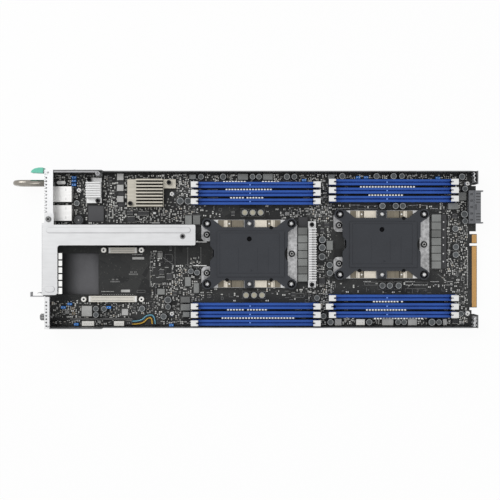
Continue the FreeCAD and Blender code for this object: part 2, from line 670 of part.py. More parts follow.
def make_sockets():
    plate = body("bolster_master")
    long_half = "bolster_length / 2"
    wide_half = "bolster_width / 2"
    waist = "window_shift - window_length / 2 - bolster_waist"
    outline = [(f"-{long_half}", f"6 - {wide_half}"), (f"6 - {long_half}", f"-{wide_half}"),
               (f"{long_half} - 6", f"-{wide_half}"), (long_half, f"6 - {wide_half}"),
               (long_half, f"{wide_half} - 6"), (f"{long_half} - 6", wide_half),
               (f"6 - {long_half}", wide_half), (f"-{long_half}", f"{wide_half} - 6")]
    ear = [(f"-{long_half}", "ear_end + 3.4"), (f"2.2 - {long_half}", "ear_end + 0.6"),
           (f"4.6 - {long_half}", "ear_end"), (f"{waist} - 3.2", "ear_end"),
           (f"{waist} - 1", "ear_end + 2.4"), (waist, "ear_end + 2.4")]
    outline += ear + [(x, f"-({y})") for x, y in reversed(ear)]
    slab(plate, "XY", [outline], 0, "bolster_thickness")
    window = rect_at("window_shift", 0, "window_length", "window_width")
    slab(plate, "XY", [window], 0, "bolster_thickness", cut=True)

    leaf = body("spring_master")
    profile = [(0, 0), (28.4, 0), (28.4, 1), (21, 1), (19.6, 1.5), (15.4, 1.5), (14, 1), (0, 1)]
    slab(leaf, "XZ", [profile], "window_width / 2 + 0.6", "window_width / 2 + 8.4")

    cap = body("cover_master")
    low = "cover_lift"
    high = "cover_lift + cover_thickness"
    side = "cover_width / 2"
    end = "cover_length / 2"
    slab(cap, "XY", [rect_at(-0.3, 0, "cover_length", "cover_width")], low, high)
    arms = []
    for sx in ("", "-"):
        for sy in ("", "-"):
            points = [(f"{sx}(29.5)", f"{sy}({side} - 1)"), (f"{sx}(29.5)", f"{sy}({side})"),
                      (f"{sx}(41.3)", f"{sy}(post_spread + 5.2)"),
                      (f"{sx}(post_reach)", f"{sy}(post_spread)"),
                      (f"{sx}(post_reach + 3.1)", f"{sy}(post_spread - 4.4)"),
                      (f"{sx}(42.3)", f"{sy}(23.6)"), (f"{sx}(30)", f"{sy}(23)")]
            arms.append(points)
    for arm in arms:
        slab(cap, "XY", [arm], low, high)
    corners = [(f"{sx}post_reach", f"{sy}post_spread") for sx in ("", "-") for sy in ("", "-")]
    slab(cap, "XY", [polygon(x, y, "boss_radius", 8) for x, y in corners], low, high)
    slab(cap, "XY", [rect(-5, f"-{side} - 8.6", 5, f"{side} + 8.6")], low, high)
    crown = rect_at(1.6, -0.2, "cover_length - 12.2", "cover_width - 8")
    slab(cap, "XY", [crown], high, f"{high} + cover_crown")
    clearance = "post_radius + 1.6 * fit_gap"
    holes = corners + [(0, f"{sy}post_spread") for sy in ("", "-")]
    slab(cap, "XY", [polygon(x, y, clearance, 8) for x, y in holes], low, f"{high} + cover_crown", cut=True)
    left = f"-{end} - 0.3"
    grip_left = [(f"{left} - 1", 9), (left, 9), (f"{left} + 4.2", 4), (f"{left} + 4.2", -3), (left, -8),
                 (f"{left} - 1", -8)]
    slab(cap, "XY", [grip_left], low, f"{high} + cover_crown", cut=True)
    slab(cap, "XY", [], low, high, cut=True, circles=[(f"{end} + 7.5", 0, 11.5)])
    dimples = [(0, 16.5, 2.8), (24.3, "cover_width / 2", 2.2), (24.3, "-cover_width / 2", 2.2),
               (-24.7, "-cover_width / 2", 2.2)]
    slab(cap, "XY", [polygon(x, y, radius, 12) for x, y, radius in dimples],
         f"{high} - 1", f"{high} + cover_crown", cut=True)

    plates, springs, posts, screws, frames = [], [], [], [], []
    for name, x, y in SOCKETS:
        plates.append(copy_at(plate, x, y, "BOARD"))
        half_turn = FreeCAD.Rotation(FreeCAD.Vector(0, 0, 1), 180)
        springs.append(copy_at(leaf, f"{x} + 6.2", y, "BOLSTER"))
        springs.append(copy_at(leaf, f"{x} - 34.6", y, "BOLSTER"))
        springs.append(copy_at(leaf, f"{x} - 6.2", y, "BOLSTER", half_turn))
        springs.append(copy_at(leaf, f"{x} + 34.6", y, "BOLSTER", half_turn))
        for dx in ("post_reach", "-post_reach", "0"):
            for dy in ("post_spread", "-post_spread"):
                posts.append(facets(f"{x} + {dx}", f"{y} + {dy}", "BOLSTER", "post_radius", "post_height", 6))
        heads = [("screw_reach", "0"), ("-screw_reach", "screw_spread"), ("-screw_reach", "-screw_spread")]
        for dx, dy in heads:
            screws.append(facets(f"{x} + {dx}", f"{y} + {dy}", "BOLSTER", "screw_radius", "screw_height", 8))
        frames.append(block(f"{x} + window_shift", y, "BOARD", "window_length - 2", "window_width - 1.6",
                            "bolster_thickness + 1.5"))
        keep(f"{name}_cover", copy_at(cap, x, y, "BOLSTER"))
    group("bolster_plates", plates)
    group("bolster_springs", springs)
    group("bolster_posts", posts)
    group("cpu_sockets", frames)
    return screws


def make_heatsinks():
    chipset = body("chipset_heatsink")
    top = "EDGE_LANE - 2.6"
    slab(chipset, "XY", [rect("REAR + 87.4", f"{top} - 30.6", "REAR + 127.8", top)],
         "SINK", "SINK + sink_base")
    slab(chipset, "XY", [rect("REAR + 127", f"{top} - 10", "REAR + 141.2", top)], "SINK", "SINK + sink_base")
    fin = slab(chipset, "XY", [rect("REAR + 97.2", f"{top} - 30.2", "REAR + 127.2", f"{top} - 28.6")],
               "SINK + sink_base", "SINK + sink_base + 8.4")
    repeat(chipset, fin, "Y", 28.6, 9)
    keep("chipset_heatsink", chipset)

    network = body("network_heatsink")
    slab(network, "XY", [rect("REAR + 42", "EDGE_LANE - 29", "REAR + 58.8", "EDGE_LANE - 1")],
         "SINK", "SINK + sink_base")
    rib = slab(network, "XY", [rect("REAR + 42", "EDGE_LANE - 23", "REAR + 58.8", "EDGE_LANE - 21.7")],
               "SINK + sink_base", "SINK + sink_base + 7.5")
    repeat(network, rib, "Y", 15.6, 7)
    keep("network_heatsink", network)

    regulator = body("regulator_heatsink")
    left = "CPU1_X + 65.4"
    right = "CPU1_X + 74.0"
    slab(regulator, "XY", [rect(left, "CPU1_Y - 37.4", right, "CPU1_Y + 36")], "SINK", "SINK + sink_base")
    slab(regulator, "XY", [rect(left, "CPU1_Y - 29.6", f"{left} + 3.4", "CPU1_Y + 28.2")],
         "SINK + sink_base", "SINK + sink_base + 13")
    blade = slab(regulator, "XY", [rect(left, "CPU1_Y - 29.6", right, "CPU1_Y - 28.4")],
                 "SINK + sink_base", "SINK + sink_base + 13")
    repeat(regulator, blade, "Y", 56.6, 22)
    keep("regulator_heatsink", regulator)

    radius, height = PIN_HEAD
    group("push_pins", [facets(x, y, z, radius, height, 10) for x, y, z in PUSH_PINS])


def make_small_parts():
    group("capacitors", [facets(x, y, "BOARD", radius, "can_height", 8) for x, y, radius in CAPACITORS])
    chokes = [block(x, y, "BOARD", length, width, "choke_height") for x, y, length, width in CHOKES]
    for x, y in (("CPU1_X + 59.4", "CPU1_Y - 0.8"), ("CPU2_X + 60.7", "CPU2_Y + 3.2")):
        for step in range(-3, 4):
            chokes.append(block(x, f"{y} + ({step}) * power_choke_pitch", "BOARD", "power_choke_length",
                                "power_choke_width", "choke_height + 1"))
    group("chokes", chokes)
    group("chips", [block(x, y, "BOARD", length, width, "chip_height") for x, y, length, width in CHIPS])
    headers = [block(x, y, "BOARD", length, width, 5.4) for x, y, length, width in HEADERS]
    group("pin_headers", headers)
    plugs = [block(x, y, "BOARD", length, width, 5.8) for x, y, length, width in MEZZANINE]
    group("mezzanine_connectors", plugs)

    sounder = doc.addObject("Part::Cut", "sounder")
    sounder.Base = facets("REAR + 33.7", "jack_lower - 7.6", "BOARD", 6, 8, 16)
    sounder.Tool = facets("REAR + 33.7", "jack_lower - 7.6", "BOARD + 6.5", 1.1, 2, 8)
    keep("sounder", sounder)

    jacks = []
    for y in ("jack_upper", "jack_lower"):
        shell = body("jack")
        slab(shell, "XY", [rect_at("REAR + jack_depth / 2", y, "jack_depth", "jack_width")],
             "BOARD", "BOARD + jack_height")
        mouth = rect_at(y, "BOARD + 5.9", 11.8, 7.2)
        slab(shell, "YZ", [mouth], "REAR", "REAR + 15", cut=True)
        slab(shell, "YZ", [rect_at(y, "BOARD + 10.5", 6, 2.2)], "REAR", "REAR + 9", cut=True)
        jacks.append(shell)
    group("network_jacks", jacks)


def make_riser():
    bracket = body("riser_bracket")
    top = "panel_height"
    skin = "panel_height + sheet"
    inner = ("BRACKET_LEG", "bracket_lower")
    outline = [("BRACKET_OUT", "-bracket_foot"), ("BRACKET_LEG", "-bracket_foot"), inner,
               ("BRACKET_END", "bracket_lower"), ("BRACKET_END", "bracket_upper"),
               ("REAR + 10.4", "bracket_upper"), ("REAR + 10.4", "bracket_upper + 12.1"),
               ("REAR + 0.2", "bracket_upper + 12.1"), ("REAR + 0.2", "bracket_upper + 2"),
               ("BRACKET_OUT", "bracket_upper + 2")]
    slab(bracket, "XY", [outline], top, skin)
    soften(bracket, [inner, ("BRACKET_LEG", "-bracket_foot")], 3)
    soften(bracket, [("BRACKET_END", "bracket_lower"), ("BRACKET_END", "bracket_upper")], 1.5)
    skirt = f"{top} - bracket_skirt"
    slab(bracket, "XY", [rect("REAR + 14", "bracket_upper - sheet", "BRACKET_END - 1.6", "bracket_upper")],
         skirt, f"{top} + 0.2")
    lower_lip = rect("BRACKET_LEG + 4", "bracket_lower", "BRACKET_END - 1.6", "bracket_lower + sheet")
    end_lip = rect("BRACKET_END - sheet", "bracket_lower + 1.6", "BRACKET_END", "bracket_upper - 1.6")
    for lip in (lower_lip, end_lip):
        slab(bracket, "XY", [lip], f"{top} - 5", f"{top} + 0.2")
    face = rect("-bracket_foot", f"{top} - bracket_skirt", "bracket_upper - 0.9", f"{top} + 0.2")
    slab(bracket, "YZ", [face], "BRACKET_OUT", "COVER_X")
    slab(bracket, "YZ", [rect("4 - bracket_foot", "slot_low + 2", "bracket_upper - 5", "slot_high - 1.5")],
         "BRACKET_OUT", "COVER_X", cut=True)
    rib = "bracket_upper - 5.8"
    raised = f"{skin} + rib_height"
    slab(bracket, "XY", [rect("REAR + 5.3", f"{rib} - 2.8", "BRACKET_END - 8.4", f"{rib} + 2.8")],
         skin, raised)
    ends = [polygon(x, rib, 2.8, 16) for x in ("REAR + 5.3", "BRACKET_END - 8.4")]
    slab(bracket, "XY", ends, skin, raised)
    dimple = "6.4 - bracket_foot"
    slab(bracket, "XY", [rect("REAR + 3.8", f"{dimple} - 3", "REAR + 8.1", f"{dimple} + 3")], skin, raised)
    slab(bracket, "XY", [polygon(x, dimple, 3, 16) for x in ("REAR + 3.8", "REAR + 8.1")], skin, raised)
    keep("riser_bracket", bracket)

    card = body("riser_card")
    tongue = "(slot_connector_length / 2 - 2.5)"
    half_card = [(tongue, "BOARD + 4"), (tongue, "BOARD + 12"), (f"({tongue} + 6)", "BOARD + 12"),
                 (f"({tongue} + 6)", "panel_height - 1")]
    shape = [(f"SLOT_MIDDLE + {x}", z) for x, z in half_card]
    shape += [(f"SLOT_MIDDLE - {x}", z) for x, z in reversed(half_card)]
    slab(card, "XZ", [shape], "RISER_Y - riser_board / 2", "RISER_Y + riser_board / 2")
    keep("riser_card", card)

    upright = body("board_slot")
    slab(upright, "XY", [rect_at("SLOT_MIDDLE", "RISER_Y", "slot_connector_length", "slot_connector_width")],
         "BOARD", "BOARD + 11")
    slab(upright, "XY", [rect_at("SLOT_MIDDLE", "RISER_Y", "slot_connector_length - 4", "riser_board + 0.2")],
         "BOARD + 3.6", "BOARD + 11", cut=True)
    sideways = body("card_slot")
    level = "slot_low + 1.5"
    back = "RISER_Y - riser_board / 2"
    body_loop = rect_at("SLOT_MIDDLE", level, "slot_connector_length", "slot_connector_width")
    slab(sideways, "XZ", [body_loop], f"{back} - 11", back)
    mouth = rect_at("SLOT_MIDDLE", level, "slot_connector_length - 4", "riser_board + 0.2")
    slab(sideways, "XZ", [mouth], f"{back} - 11", f"{back} - 3.6", cut=True)
    group("riser_slots", [upright, sideways])

    blank = body("slot_cover")
    tab = "-bracket_foot - 1.3"
    face = rect(tab, "slot_low", "bracket_upper - 1.4", "slot_high")
    slab(blank, "YZ", [face], "COVER_X", "COVER_X + cover_sheet")
    reach = "BRACKET_OUT - 12.9"
    slab(blank, "XY", [rect(reach, f"{tab} - cover_sheet", "COVER_X + cover_sheet", tab)],
         "slot_low", "slot_high")
    slab(blank, "XY", [rect(reach, f"{tab} - cover_sheet", f"{reach} + cover_sheet", f"{tab} + 4.4")],
         "slot_low", "slot_high")
    vent = slab(blank, "YZ", [hexagon("6.5 - bracket_foot", "slot_low + 5.8", 1.6)],
                "COVER_X", "COVER_X + cover_sheet", cut=True)
    repeat(blank, vent, "Y", 62, 14)
    keep("slot_cover", blank)

    strip = body("contact_strip")
    slab(strip, "XY", [rect("INSIDE + 5", -49, "REAR + strip_reach", -4)],
         "shelf_height", "shelf_height + strip_sheet")
    gap = slab(strip, "XY", [rect("REAR + strip_reach - 6", -42.3, "REAR + strip_reach + 1", -40.8)],
               "shelf_height", "shelf_height + strip_sheet", cut=True)
    repeat(strip, gap, "Y", 30, 5)
    keep("contact_strip", strip)


def make_handle():
    """A rod bent to a U: two legs off the panel, an upright bar and a quarter turn at each end of it."""
    sides = 10
    bend_x = "REAR - handle_reach + handle_rod + handle_bend"
    rearward = FreeCAD.Rotation(FreeCAD.Vector(0, 1, 0), -90)
    pieces = [facets(f"{bend_x} - handle_bend", "handle_place", "handle_low + handle_bend", "handle_rod",
                     "handle_high - handle_low - 2 * handle_bend", sides)]
    for level, inward, angle in (("handle_low", "handle_bend", 90), ("handle_high", "-handle_bend", -90)):
        leg = facets("REAR", "handle_place", level, "handle_rod", f"REAR - ({bend_x})", sides)
        leg.Placement.Rotation = rearward
        section = doc.addObject("Part::RegularPolygon", "Section")
        section.Polygon = sides
        bind(section, Circumradius="handle_rod")
        section.Placement.Rotation = rearward
        place(section, bend_x, "handle_place", level)
        turn = doc.addObject("Part::Revolution", "Bend")
        turn.Source = section
        turn.Axis = FreeCAD.Vector(0, 1, 0)
        turn.Angle = angle
        turn.Solid = True
        for axis, text in zip("xyz", (bend_x, "handle_place", f"{level} + {inward}")):
            turn.setExpression(f"Base.{axis}", ex(text))
        pieces += [leg, turn]
    handle = doc.addObject("Part::MultiFuse", "pull_handle")
    handle.Shapes = pieces
    keep("pull_handle", handle)


def make_lever():
    arm = body("lever_arm")
    tail = "REAR - 11.5"
    slab(arm, "XY", [rect(tail, "ARM_IN", "LEVER_X", "ARM_OUT")], "lever_low", "lever_high")
    slab(arm, "XY", [polygon("LEVER_X", "LEVER_Y", "lever_eye", 16)], "lever_low", "lever_high")
    slab(arm, "XY", [], "lever_low", "lever_high", cut=True,
         circles=[("LEVER_X", "LEVER_Y", "lever_pin_radius + running_fit")])
    tooth = [("LEVER_X - 32.5", "ARM_OUT - 0.2"), ("LEVER_X - 24.5", "ARM_OUT - 0.2"),
             ("LEVER_X - 24.5", "TRAY_HALF + 0.5"), ("LEVER_X - 26", "TRAY_HALF + 0.5")]
    slab(arm, "XY", [tooth], "lever_low + 2.5", "lever_high - 2.5")
    keep("lever_arm", arm)

    grip = body("lever_grip")
    tip = "REAR - grip_reach"
    heel = "REAR - 1.6"
    leaf = [(tip, "ARM_IN - 0.3"), (heel, "ARM_IN - 0.8"), (heel, "ARM_OUT + 3.8"),
            ("REAR - 6", "ARM_OUT + 3.8"), ("REAR - 10.5", "ARM_OUT + 2.9"),
            (f"{tip} + 1.2", "ARM_OUT + 1.0")]
    slab(grip, "XY", [leaf], "lever_low - 2.5", "panel_height - 0.6")
    slab(grip, "YZ", [rect("ARM_IN", "lever_low", "ARM_OUT", "lever_high")], tail, heel, cut=True)
    keep("lever_grip", grip)
    return post("LEVER_X", "LEVER_Y", "wall_height + sheet", "lever_pin_radius",
                "FLANGE - wall_height - sheet")


def make_thumbscrew():
    knob = body("thumbscrew")
    head = "REAR - 0.4"
    for low, high, radius in ((f"{head} - knob_length", head, "knob_radius"),
                              (f"{head} - knob_length - 0.7", f"{head} - knob_length", "knob_radius - 0.9"),
                              ("REAR - 0.6", "INSIDE + 6", "shank_radius"),
                              ("INSIDE + 0.2", "INSIDE + 1.2", "shank_radius + 1")):
        slab(knob, "YZ", [polygon("-knob_place", "knob_height", radius, 16)], low, high)
    keep("thumbscrew", knob)


def beside(points, shift):
    """The route moved sideways in plan, to the left of its run."""
    runs = [(after - before).normalize() for before, after in zip(points, points[1:])]
    sides = [FreeCAD.Vector(-run.y, run.x, 0) for run in runs]
    moved = [points[0] + sides[0] * shift]
    for point, one, two in zip(points[1:], sides, sides[1:]):
        moved.append(point + (one + two) * (shift / (1 + one.dot(two))))
    return moved + [points[-1] + sides[-1] * shift]


def make_harness():
    """Three thin leads from a plug at the board edge, up over the board and down to the wall."""
    route = [("REAR + 92.5", "-EDGE_LANE - 0.9"), ("REAR + 103.5", "-EDGE_LANE - 0.9"),
             ("REAR + 109", "6 - EDGE_LANE"), ("REAR + 116.5", "6 - EDGE_LANE"),
             ("REAR + 116.5", "-BOARD_HALF")]
    level = number("BOARD + 2.7")
    middle = [FreeCAD.Vector(number(x), number(y), level) for x, y in route]
    radius = number("wire_radius")
    leads = []
    for lead in (-1, 0, 1):
        points = beside(middle, lead * 2.3 * radius)
        spokes = [math.pi * i / 4 for i in range(9)]
        ring = [points[0] + FreeCAD.Vector(0, math.cos(a), math.sin(a)) * radius for a in spokes]
        path = Part.makePolygon(points)
        leads.append(path.makePipeShell([Part.makePolygon(ring)], True, False, 1))
    harness = doc.addObject("Part::Feature", "wire_harness")
    harness.Shape = Part.makeCompound(leads)
    keep("wire_harness", harness)


def make_supports(screws, lever_pin):
    stands = []
    for x, y, screwed in SUPPORTS:
        stands.append(facets(x, y, "sheet", "standoff_radius", "standoff_height", 6))
        if screwed:
            screws.append(facets(x, y, "BOARD", "screw_radius", "screw_height", 8))
    for x, y in MEZZANINE_POSTS:
        ring = doc.addObject("Part::Cut", "Ring")
        ring.Base = facets(x, y, "BOARD", 2.9, 6, 8)
        ring.Tool = facets(x, y, "BOARD + 1", 1.2, 6, 8)
        stands.append(ring)
    group("standoffs", stands)
    skin = "panel_height + sheet"
    screws.append(facets("REAR + 4.7", "bracket_upper + 6", skin, "screw_radius", "screw_height", 8))
    screws.append(facets("BRACKET_END - 13.8", "bracket_lower + 9.7", skin, "screw_radius", 0.5, 8))
    screws.append(lever_pin)
    group("fasteners", screws)


make_tray()
make_rear_panel()
make_board()
make_connector()
make_memory()
bolster_screws = make_sockets()
make_heatsinks()
make_small_parts()
make_riser()
make_handle()
pin_of_lever = make_lever()
make_thumbscrew()
make_harness()
make_supports(bolster_screws, pin_of_lever)

doc.recompute()
faults = [f"{o.Name}: {o.State}" for o in doc.Objects if "Invalid" in o.State or "Error" in o.State]
shapes = {name: Part.getShape(obj) for name, obj in nodes.items()}
faults += [name for name, shape in shapes.items() if shape.isNull() or not shape.isValid()]
if faults:
    raise RuntimeError("not built: " + "; ".join(faults))

os.makedirs("parts", exist_ok=True)
for name, shape in shapes.items():
    shape.exportStep(f"parts/{name}.step")
print(len(shapes), "nodes,", sum(len(shape.Solids) for shape in shapes.values()), "solids")
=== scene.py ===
import bpy
import math
import random
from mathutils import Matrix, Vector


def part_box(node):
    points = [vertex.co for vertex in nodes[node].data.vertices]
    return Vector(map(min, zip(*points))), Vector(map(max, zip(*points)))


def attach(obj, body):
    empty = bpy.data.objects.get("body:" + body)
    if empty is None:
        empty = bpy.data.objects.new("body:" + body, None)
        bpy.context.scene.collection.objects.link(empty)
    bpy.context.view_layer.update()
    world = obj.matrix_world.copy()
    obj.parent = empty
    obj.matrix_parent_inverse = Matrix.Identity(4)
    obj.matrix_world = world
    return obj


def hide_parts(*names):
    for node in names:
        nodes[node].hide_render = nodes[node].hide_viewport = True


# A half-width server sled seen from straight above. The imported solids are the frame. The fine parts are
# built here on top of them, in metres, at the places that the frame gives.

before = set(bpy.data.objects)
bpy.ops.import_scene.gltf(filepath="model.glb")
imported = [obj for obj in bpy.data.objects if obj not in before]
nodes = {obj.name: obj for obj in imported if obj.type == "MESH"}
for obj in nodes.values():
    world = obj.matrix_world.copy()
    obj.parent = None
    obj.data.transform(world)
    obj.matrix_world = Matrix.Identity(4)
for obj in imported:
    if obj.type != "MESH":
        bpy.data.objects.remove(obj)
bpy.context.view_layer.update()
MM = 0.001
BODY = "sled"
SIDES = (-1, 1)
CORNERS = [(one, two) for one in SIDES for two in SIDES]
rng = random.Random(12)

# The photograph's view: image middle, millimetres per pixel at board level and the point under the camera.
IMAGE_MIDDLE = 250
PIXEL = 1.113
VIEW_X, VIEW_Y = -13.9, -0.6
CAMERA_HEIGHT = 1.208
LENS = 77.49
SENSOR = 36


def mm(*sizes):
    """Millimetres as metres."""
    return tuple(size * MM for size in sizes)


def at_pixel(column, row):
    """The place on the board under a pixel of the photograph."""
    return mm((column - IMAGE_MIDDLE) * PIXEL + VIEW_X, (IMAGE_MIDDLE - row) * PIXEL + VIEW_Y)


def islands(node):
    """The box of each separate solid of a CAD node, as (low, high) corners."""
    mesh = nodes[node].data
    ids = {}
    parent = []

    def find(i):
        while parent[i] != i:
            parent[i] = parent[parent[i]]
            i = parent[i]
        return i

    index = []
    for vertex in mesh.vertices:
        key = tuple(round(c, 6) for c in vertex.co)
        if key not in ids:
            ids[key] = len(parent)
            parent.append(ids[key])
        index.append(ids[key])
    for face in mesh.polygons:
        first = find(index[face.vertices[0]])
        for vertex in face.vertices[1:]:
            parent[find(index[vertex])] = first
    groups = {}
    for key, i in ids.items():
        groups.setdefault(find(i), []).append(key)
    boxes = []
    for points in groups.values():
        low = tuple(min(p[k] for p in points) for k in range(3))
        high = tuple(max(p[k] for p in points) for k in range(3))
        boxes.append((low, high))
    return sorted(boxes)


def middle(box):
    low, high = box
    return tuple((a + b) / 2 for a, b in zip(low, high))


def spans(box):
    low, high = box
    return tuple(b - a for a, b in zip(low, high))


def solids(node):
    """Each separate solid of a CAD node: the middle of its foot, its length, width and height."""
    for box in islands(node):
        x, y, _ = middle(box)
        yield (x, y, box[0][2], *spans(box))


class Shape:
    """Collects closed forms in one mesh, each in one of its finishes. The first finish is the usual one."""

    def __init__(self, name, finishes):
        self.name = name
        self.finishes = finishes
        self.points = []
        self.faces = []
        self.paint = []

    def add(self, points, faces, finish=None):
        """A closed form in one finish, or in a list of them with one for each face."""
        start = len(self.points)
        self.points += points
        self.faces += [tuple(start + i for i in face) for face in faces]
        self.paint += finish if isinstance(finish, list) else [finish or self.finishes[0]] * len(faces)

    def loft(self, first, last, finish=None):
        """A closed form between two outlines that have the same number of points."""
        n = len(first)
        faces = [tuple(reversed(range(n))), tuple(range(n, 2 * n))]
        for i in range(n):
            j = (i + 1) % n
            faces.append((i, j, n + j, n + i))
        self.add(first + last, faces, finish)

    def prism(self, outline, z0, z1, finish=None):
        self.loft([(x, y, z0) for x, y in outline], [(x, y, z1) for x, y in outline], finish)

    def bar(self, section, y0, y1, finish=None):
        """A run along Y of one (x, z) section, given counter-clockwise from the front."""
        self.loft([(x, y1, z) for x, z in section], [(x, y0, z) for x, z in section], finish)

    def box(self, low, high, finish=None):
        (x0, y0, z0), (x1, y1, z1) = low, high
        self.prism([(x0, y0), (x1, y0), (x1, y1), (x0, y1)], z0, z1, finish)

    def block(self, x, y, z, length, width, height, finish=None):
        self.box((x - length / 2, y - width / 2, z), (x + length / 2, y + width / 2, z + height), finish)

    def turned(self, centre, profile, finish=None, segments=20, axis="z", knurl=0.0):
        """A closed form turned about an axis: (radius, height) pairs, one finish or a list with one per step.
        A profile that ends where it starts makes a ring."""
        if not isinstance(finish, list):
            finish = [finish or self.finishes[0]] * len(profile)
        points, rings, faces, paint = [], [], [], []
        hollow = profile[0] == profile[-1]
        for radius, height in profile[:-1] if hollow else profile:
            count = segments if radius > 0 else 1
            rings.append([len(points) + i for i in range(count)])
            for i in range(count):
                turn = 2 * math.pi * i / segments
                reach = radius * (1 - knurl * (i % 2))
                a, b = reach * math.cos(turn), reach * math.sin(turn)
                local = (a, b, height) if axis == "z" else (height, a, b)
                points.append(tuple(p + q for p, q in zip(centre, local)))
        steps = zip(rings, rings[1:] + rings[:1]) if hollow else zip(rings, rings[1:])
        for k, (one, two) in enumerate(steps):
            for i in range(segments):
                j = (i + 1) % segments
                if len(one) == 1:
                    faces.append((one[0], two[j], two[i]))
                elif len(two) == 1:
                    faces.append((one[i], one[j], two[0]))
                else:
                    faces.append((one[i], one[j], two[j], two[i]))
                paint.append(finish[k])
        ends = [(tuple(reversed(rings[0])), finish[0]), (tuple(rings[-1]), finish[-1])]
        for ring, end_finish in ends:
            if len(ring) > 1 and not hollow:
                faces.append(ring)
                paint.append(end_finish)
        self.add(points, faces, paint)

    def build(self, body=BODY, replaces=(), bevel=0.0, smooth=False):
        mesh = bpy.data.meshes.new(self.name)
        mesh.from_pydata(self.points, [], self.faces)
        order = {}
        for finish in self.finishes:
            order[finish.name] = len(mesh.materials)
            mesh.materials.append(finish)
        mesh.polygons.foreach_set("material_index", [order[finish.name] for finish in self.paint])
        mesh.polygons.foreach_set("use_smooth", [smooth] * len(mesh.polygons))
        mesh.update()
        piece = bpy.data.objects.new(self.name, mesh)
        bpy.context.scene.collection.objects.link(piece)
        if bevel:
            soften(piece, bevel)
        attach(piece, body)
        if replaces:
            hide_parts(*replaces)


def soften(piece, width):
    """Rounded edges that catch the light, on sharp corners only."""
    bevel = piece.modifiers.new("soft_edges", "BEVEL")
    bevel.width = width
    bevel.segments = 2
    bevel.limit_method = "ANGLE"
    bevel.angle_limit = math.radians(40)


# Finishes. Texture places are the frame's metres, so a texture scale is a count per metre.

def wire(tree, sockets, inputs):
    """Feeds sockets by name or number, each from another socket or with a plain value."""
    for name, value in inputs.items():
        if isinstance(value, bpy.types.NodeSocket):
            tree.links.new(value, sockets[name])
        else:
            sockets[name].default_value = value


def add_node(tree, kind, inputs, **settings):
    """A new shader node with its settings and inputs."""
    node = tree.nodes.new("ShaderNode" + kind)
    for name, value in settings.items():
        setattr(node, name, value)
    wire(tree, node.inputs, inputs)
    return node


def reckon(tree, operation, *terms):
    """One step of arithmetic on sockets and plain numbers."""
    return add_node(tree, "Math", dict(enumerate(terms)), operation=operation).outputs[0]


def surface_place(tree):
    """The socket that gives a place on the surface, in metres."""
    return add_node(tree, "TexCoord", {}).outputs["Object"]


def node_group(name, inputs, outputs):
    """A shader group with its named sockets: the group, where it starts and where it ends."""
    tree = bpy.data.node_groups.new(name, "ShaderNodeTree")
    for direction, sockets in (("INPUT", inputs), ("OUTPUT", outputs)):
        for socket, kind in sockets.items():
            tree.interface.new_socket(socket, in_out=direction, socket_type="NodeSocket" + kind)
    return tree, tree.nodes.new("NodeGroupInput").outputs, tree.nodes.new("NodeGroupOutput").inputs


GRAIN_DETAIL = 4
CLOUD = {"Scale": 55, "Detail": 2}
NOISE_RANGE = {"From Min": 0.3, "From Max": 0.7, "To Min": -1}
BUMP_HEIGHT = 0.2 * MM


def surface_grain():
    """Fine grain and broad mottling: a tinted colour, a roughness mask and a bumped normal."""
    inputs = {"Colour": "Color", "Scale": "Float", "Amount": "Float", "Mottle": "Float", "Bump": "Float",
              "Stretch": "Vector"}
    outputs = {"Colour": "Color", "Spread": "Float", "Normal": "Vector"}
    tree, start, end = node_group("surface_grain", inputs, outputs)
    place = surface_place(tree)
    stretched = add_node(tree, "VectorMath", {0: place, 1: start["Stretch"]}, operation="MULTIPLY").outputs[0]
    fine = {"Vector": stretched, "Scale": start["Scale"], "Detail": GRAIN_DETAIL}
    grain = add_node(tree, "TexNoise", fine).outputs["Fac"]
    cloud = add_node(tree, "TexNoise", {"Vector": place, **CLOUD}).outputs["Fac"]
    level = 1
    for source, strength in ((grain, "Amount"), (cloud, "Mottle")):
        centred = add_node(tree, "MapRange", {"Value": source, **NOISE_RANGE}).outputs[0]
        level = reckon(tree, "MULTIPLY_ADD", centred, start[strength], level)
    tint = add_node(tree, "VectorMath", {0: start["Colour"], "Scale": level}, operation="SCALE").outputs[0]
    relief = {"Strength": start["Bump"], "Height": grain, "Distance": BUMP_HEIGHT}
    bump = add_node(tree, "Bump", relief).outputs[0]
    wire(tree, end, {"Colour": tint, "Spread": grain, "Normal": bump})
    return tree


def repeated_bands():
    """A mask of bands at a pitch along one direction, for contact pads and copper runs."""
    inputs = {"Direction": "Vector", "Pitch": "Float", "Share": "Float"}
    tree, start, end = node_group("repeated_bands", inputs, {"Mask": "Float"})
    way = {0: surface_place(tree), 1: start["Direction"]}
    along = add_node(tree, "VectorMath", way, operation="DOT_PRODUCT").outputs["Value"]
    part = reckon(tree, "FRACT", reckon(tree, "DIVIDE", along, start["Pitch"]))
    wire(tree, end, {"Mask": reckon(tree, "LESS_THAN", part, start["Share"])})
    return tree


GRAIN = surface_grain()
BANDS = repeated_bands()


GLOSS_SPREAD = 0.1


def coated(name, colour, rough, metal=0.0, scale=900, amount=0.1, mottle=0.05, bump=0.08, stretch=(1, 1, 1),
           shine=0.5):
    """A principled finish with grain in its colour, roughness and bump."""
    mat = bpy.data.materials.new(name)
    mat.use_nodes = True
    tree = mat.node_tree
    look = {"Colour": (*colour, 1), "Scale": scale, "Amount": amount, "Mottle": mottle, "Bump": bump,
            "Stretch": stretch}
    grain = add_node(tree, "Group", look, node_tree=GRAIN).outputs
    gloss = {"Value": grain["Spread"], "To Min": max(0.05, rough - GLOSS_SPREAD),
             "To Max": min(1.0, rough + GLOSS_SPREAD)}
    wire(tree, tree.nodes["Principled BSDF"].inputs, {
        "Metallic": metal, "Specular IOR Level": shine, "Base Color": grain["Colour"],
        "Roughness": add_node(tree, "MapRange", gloss).outputs[0], "Normal": grain["Normal"]})
    return mat


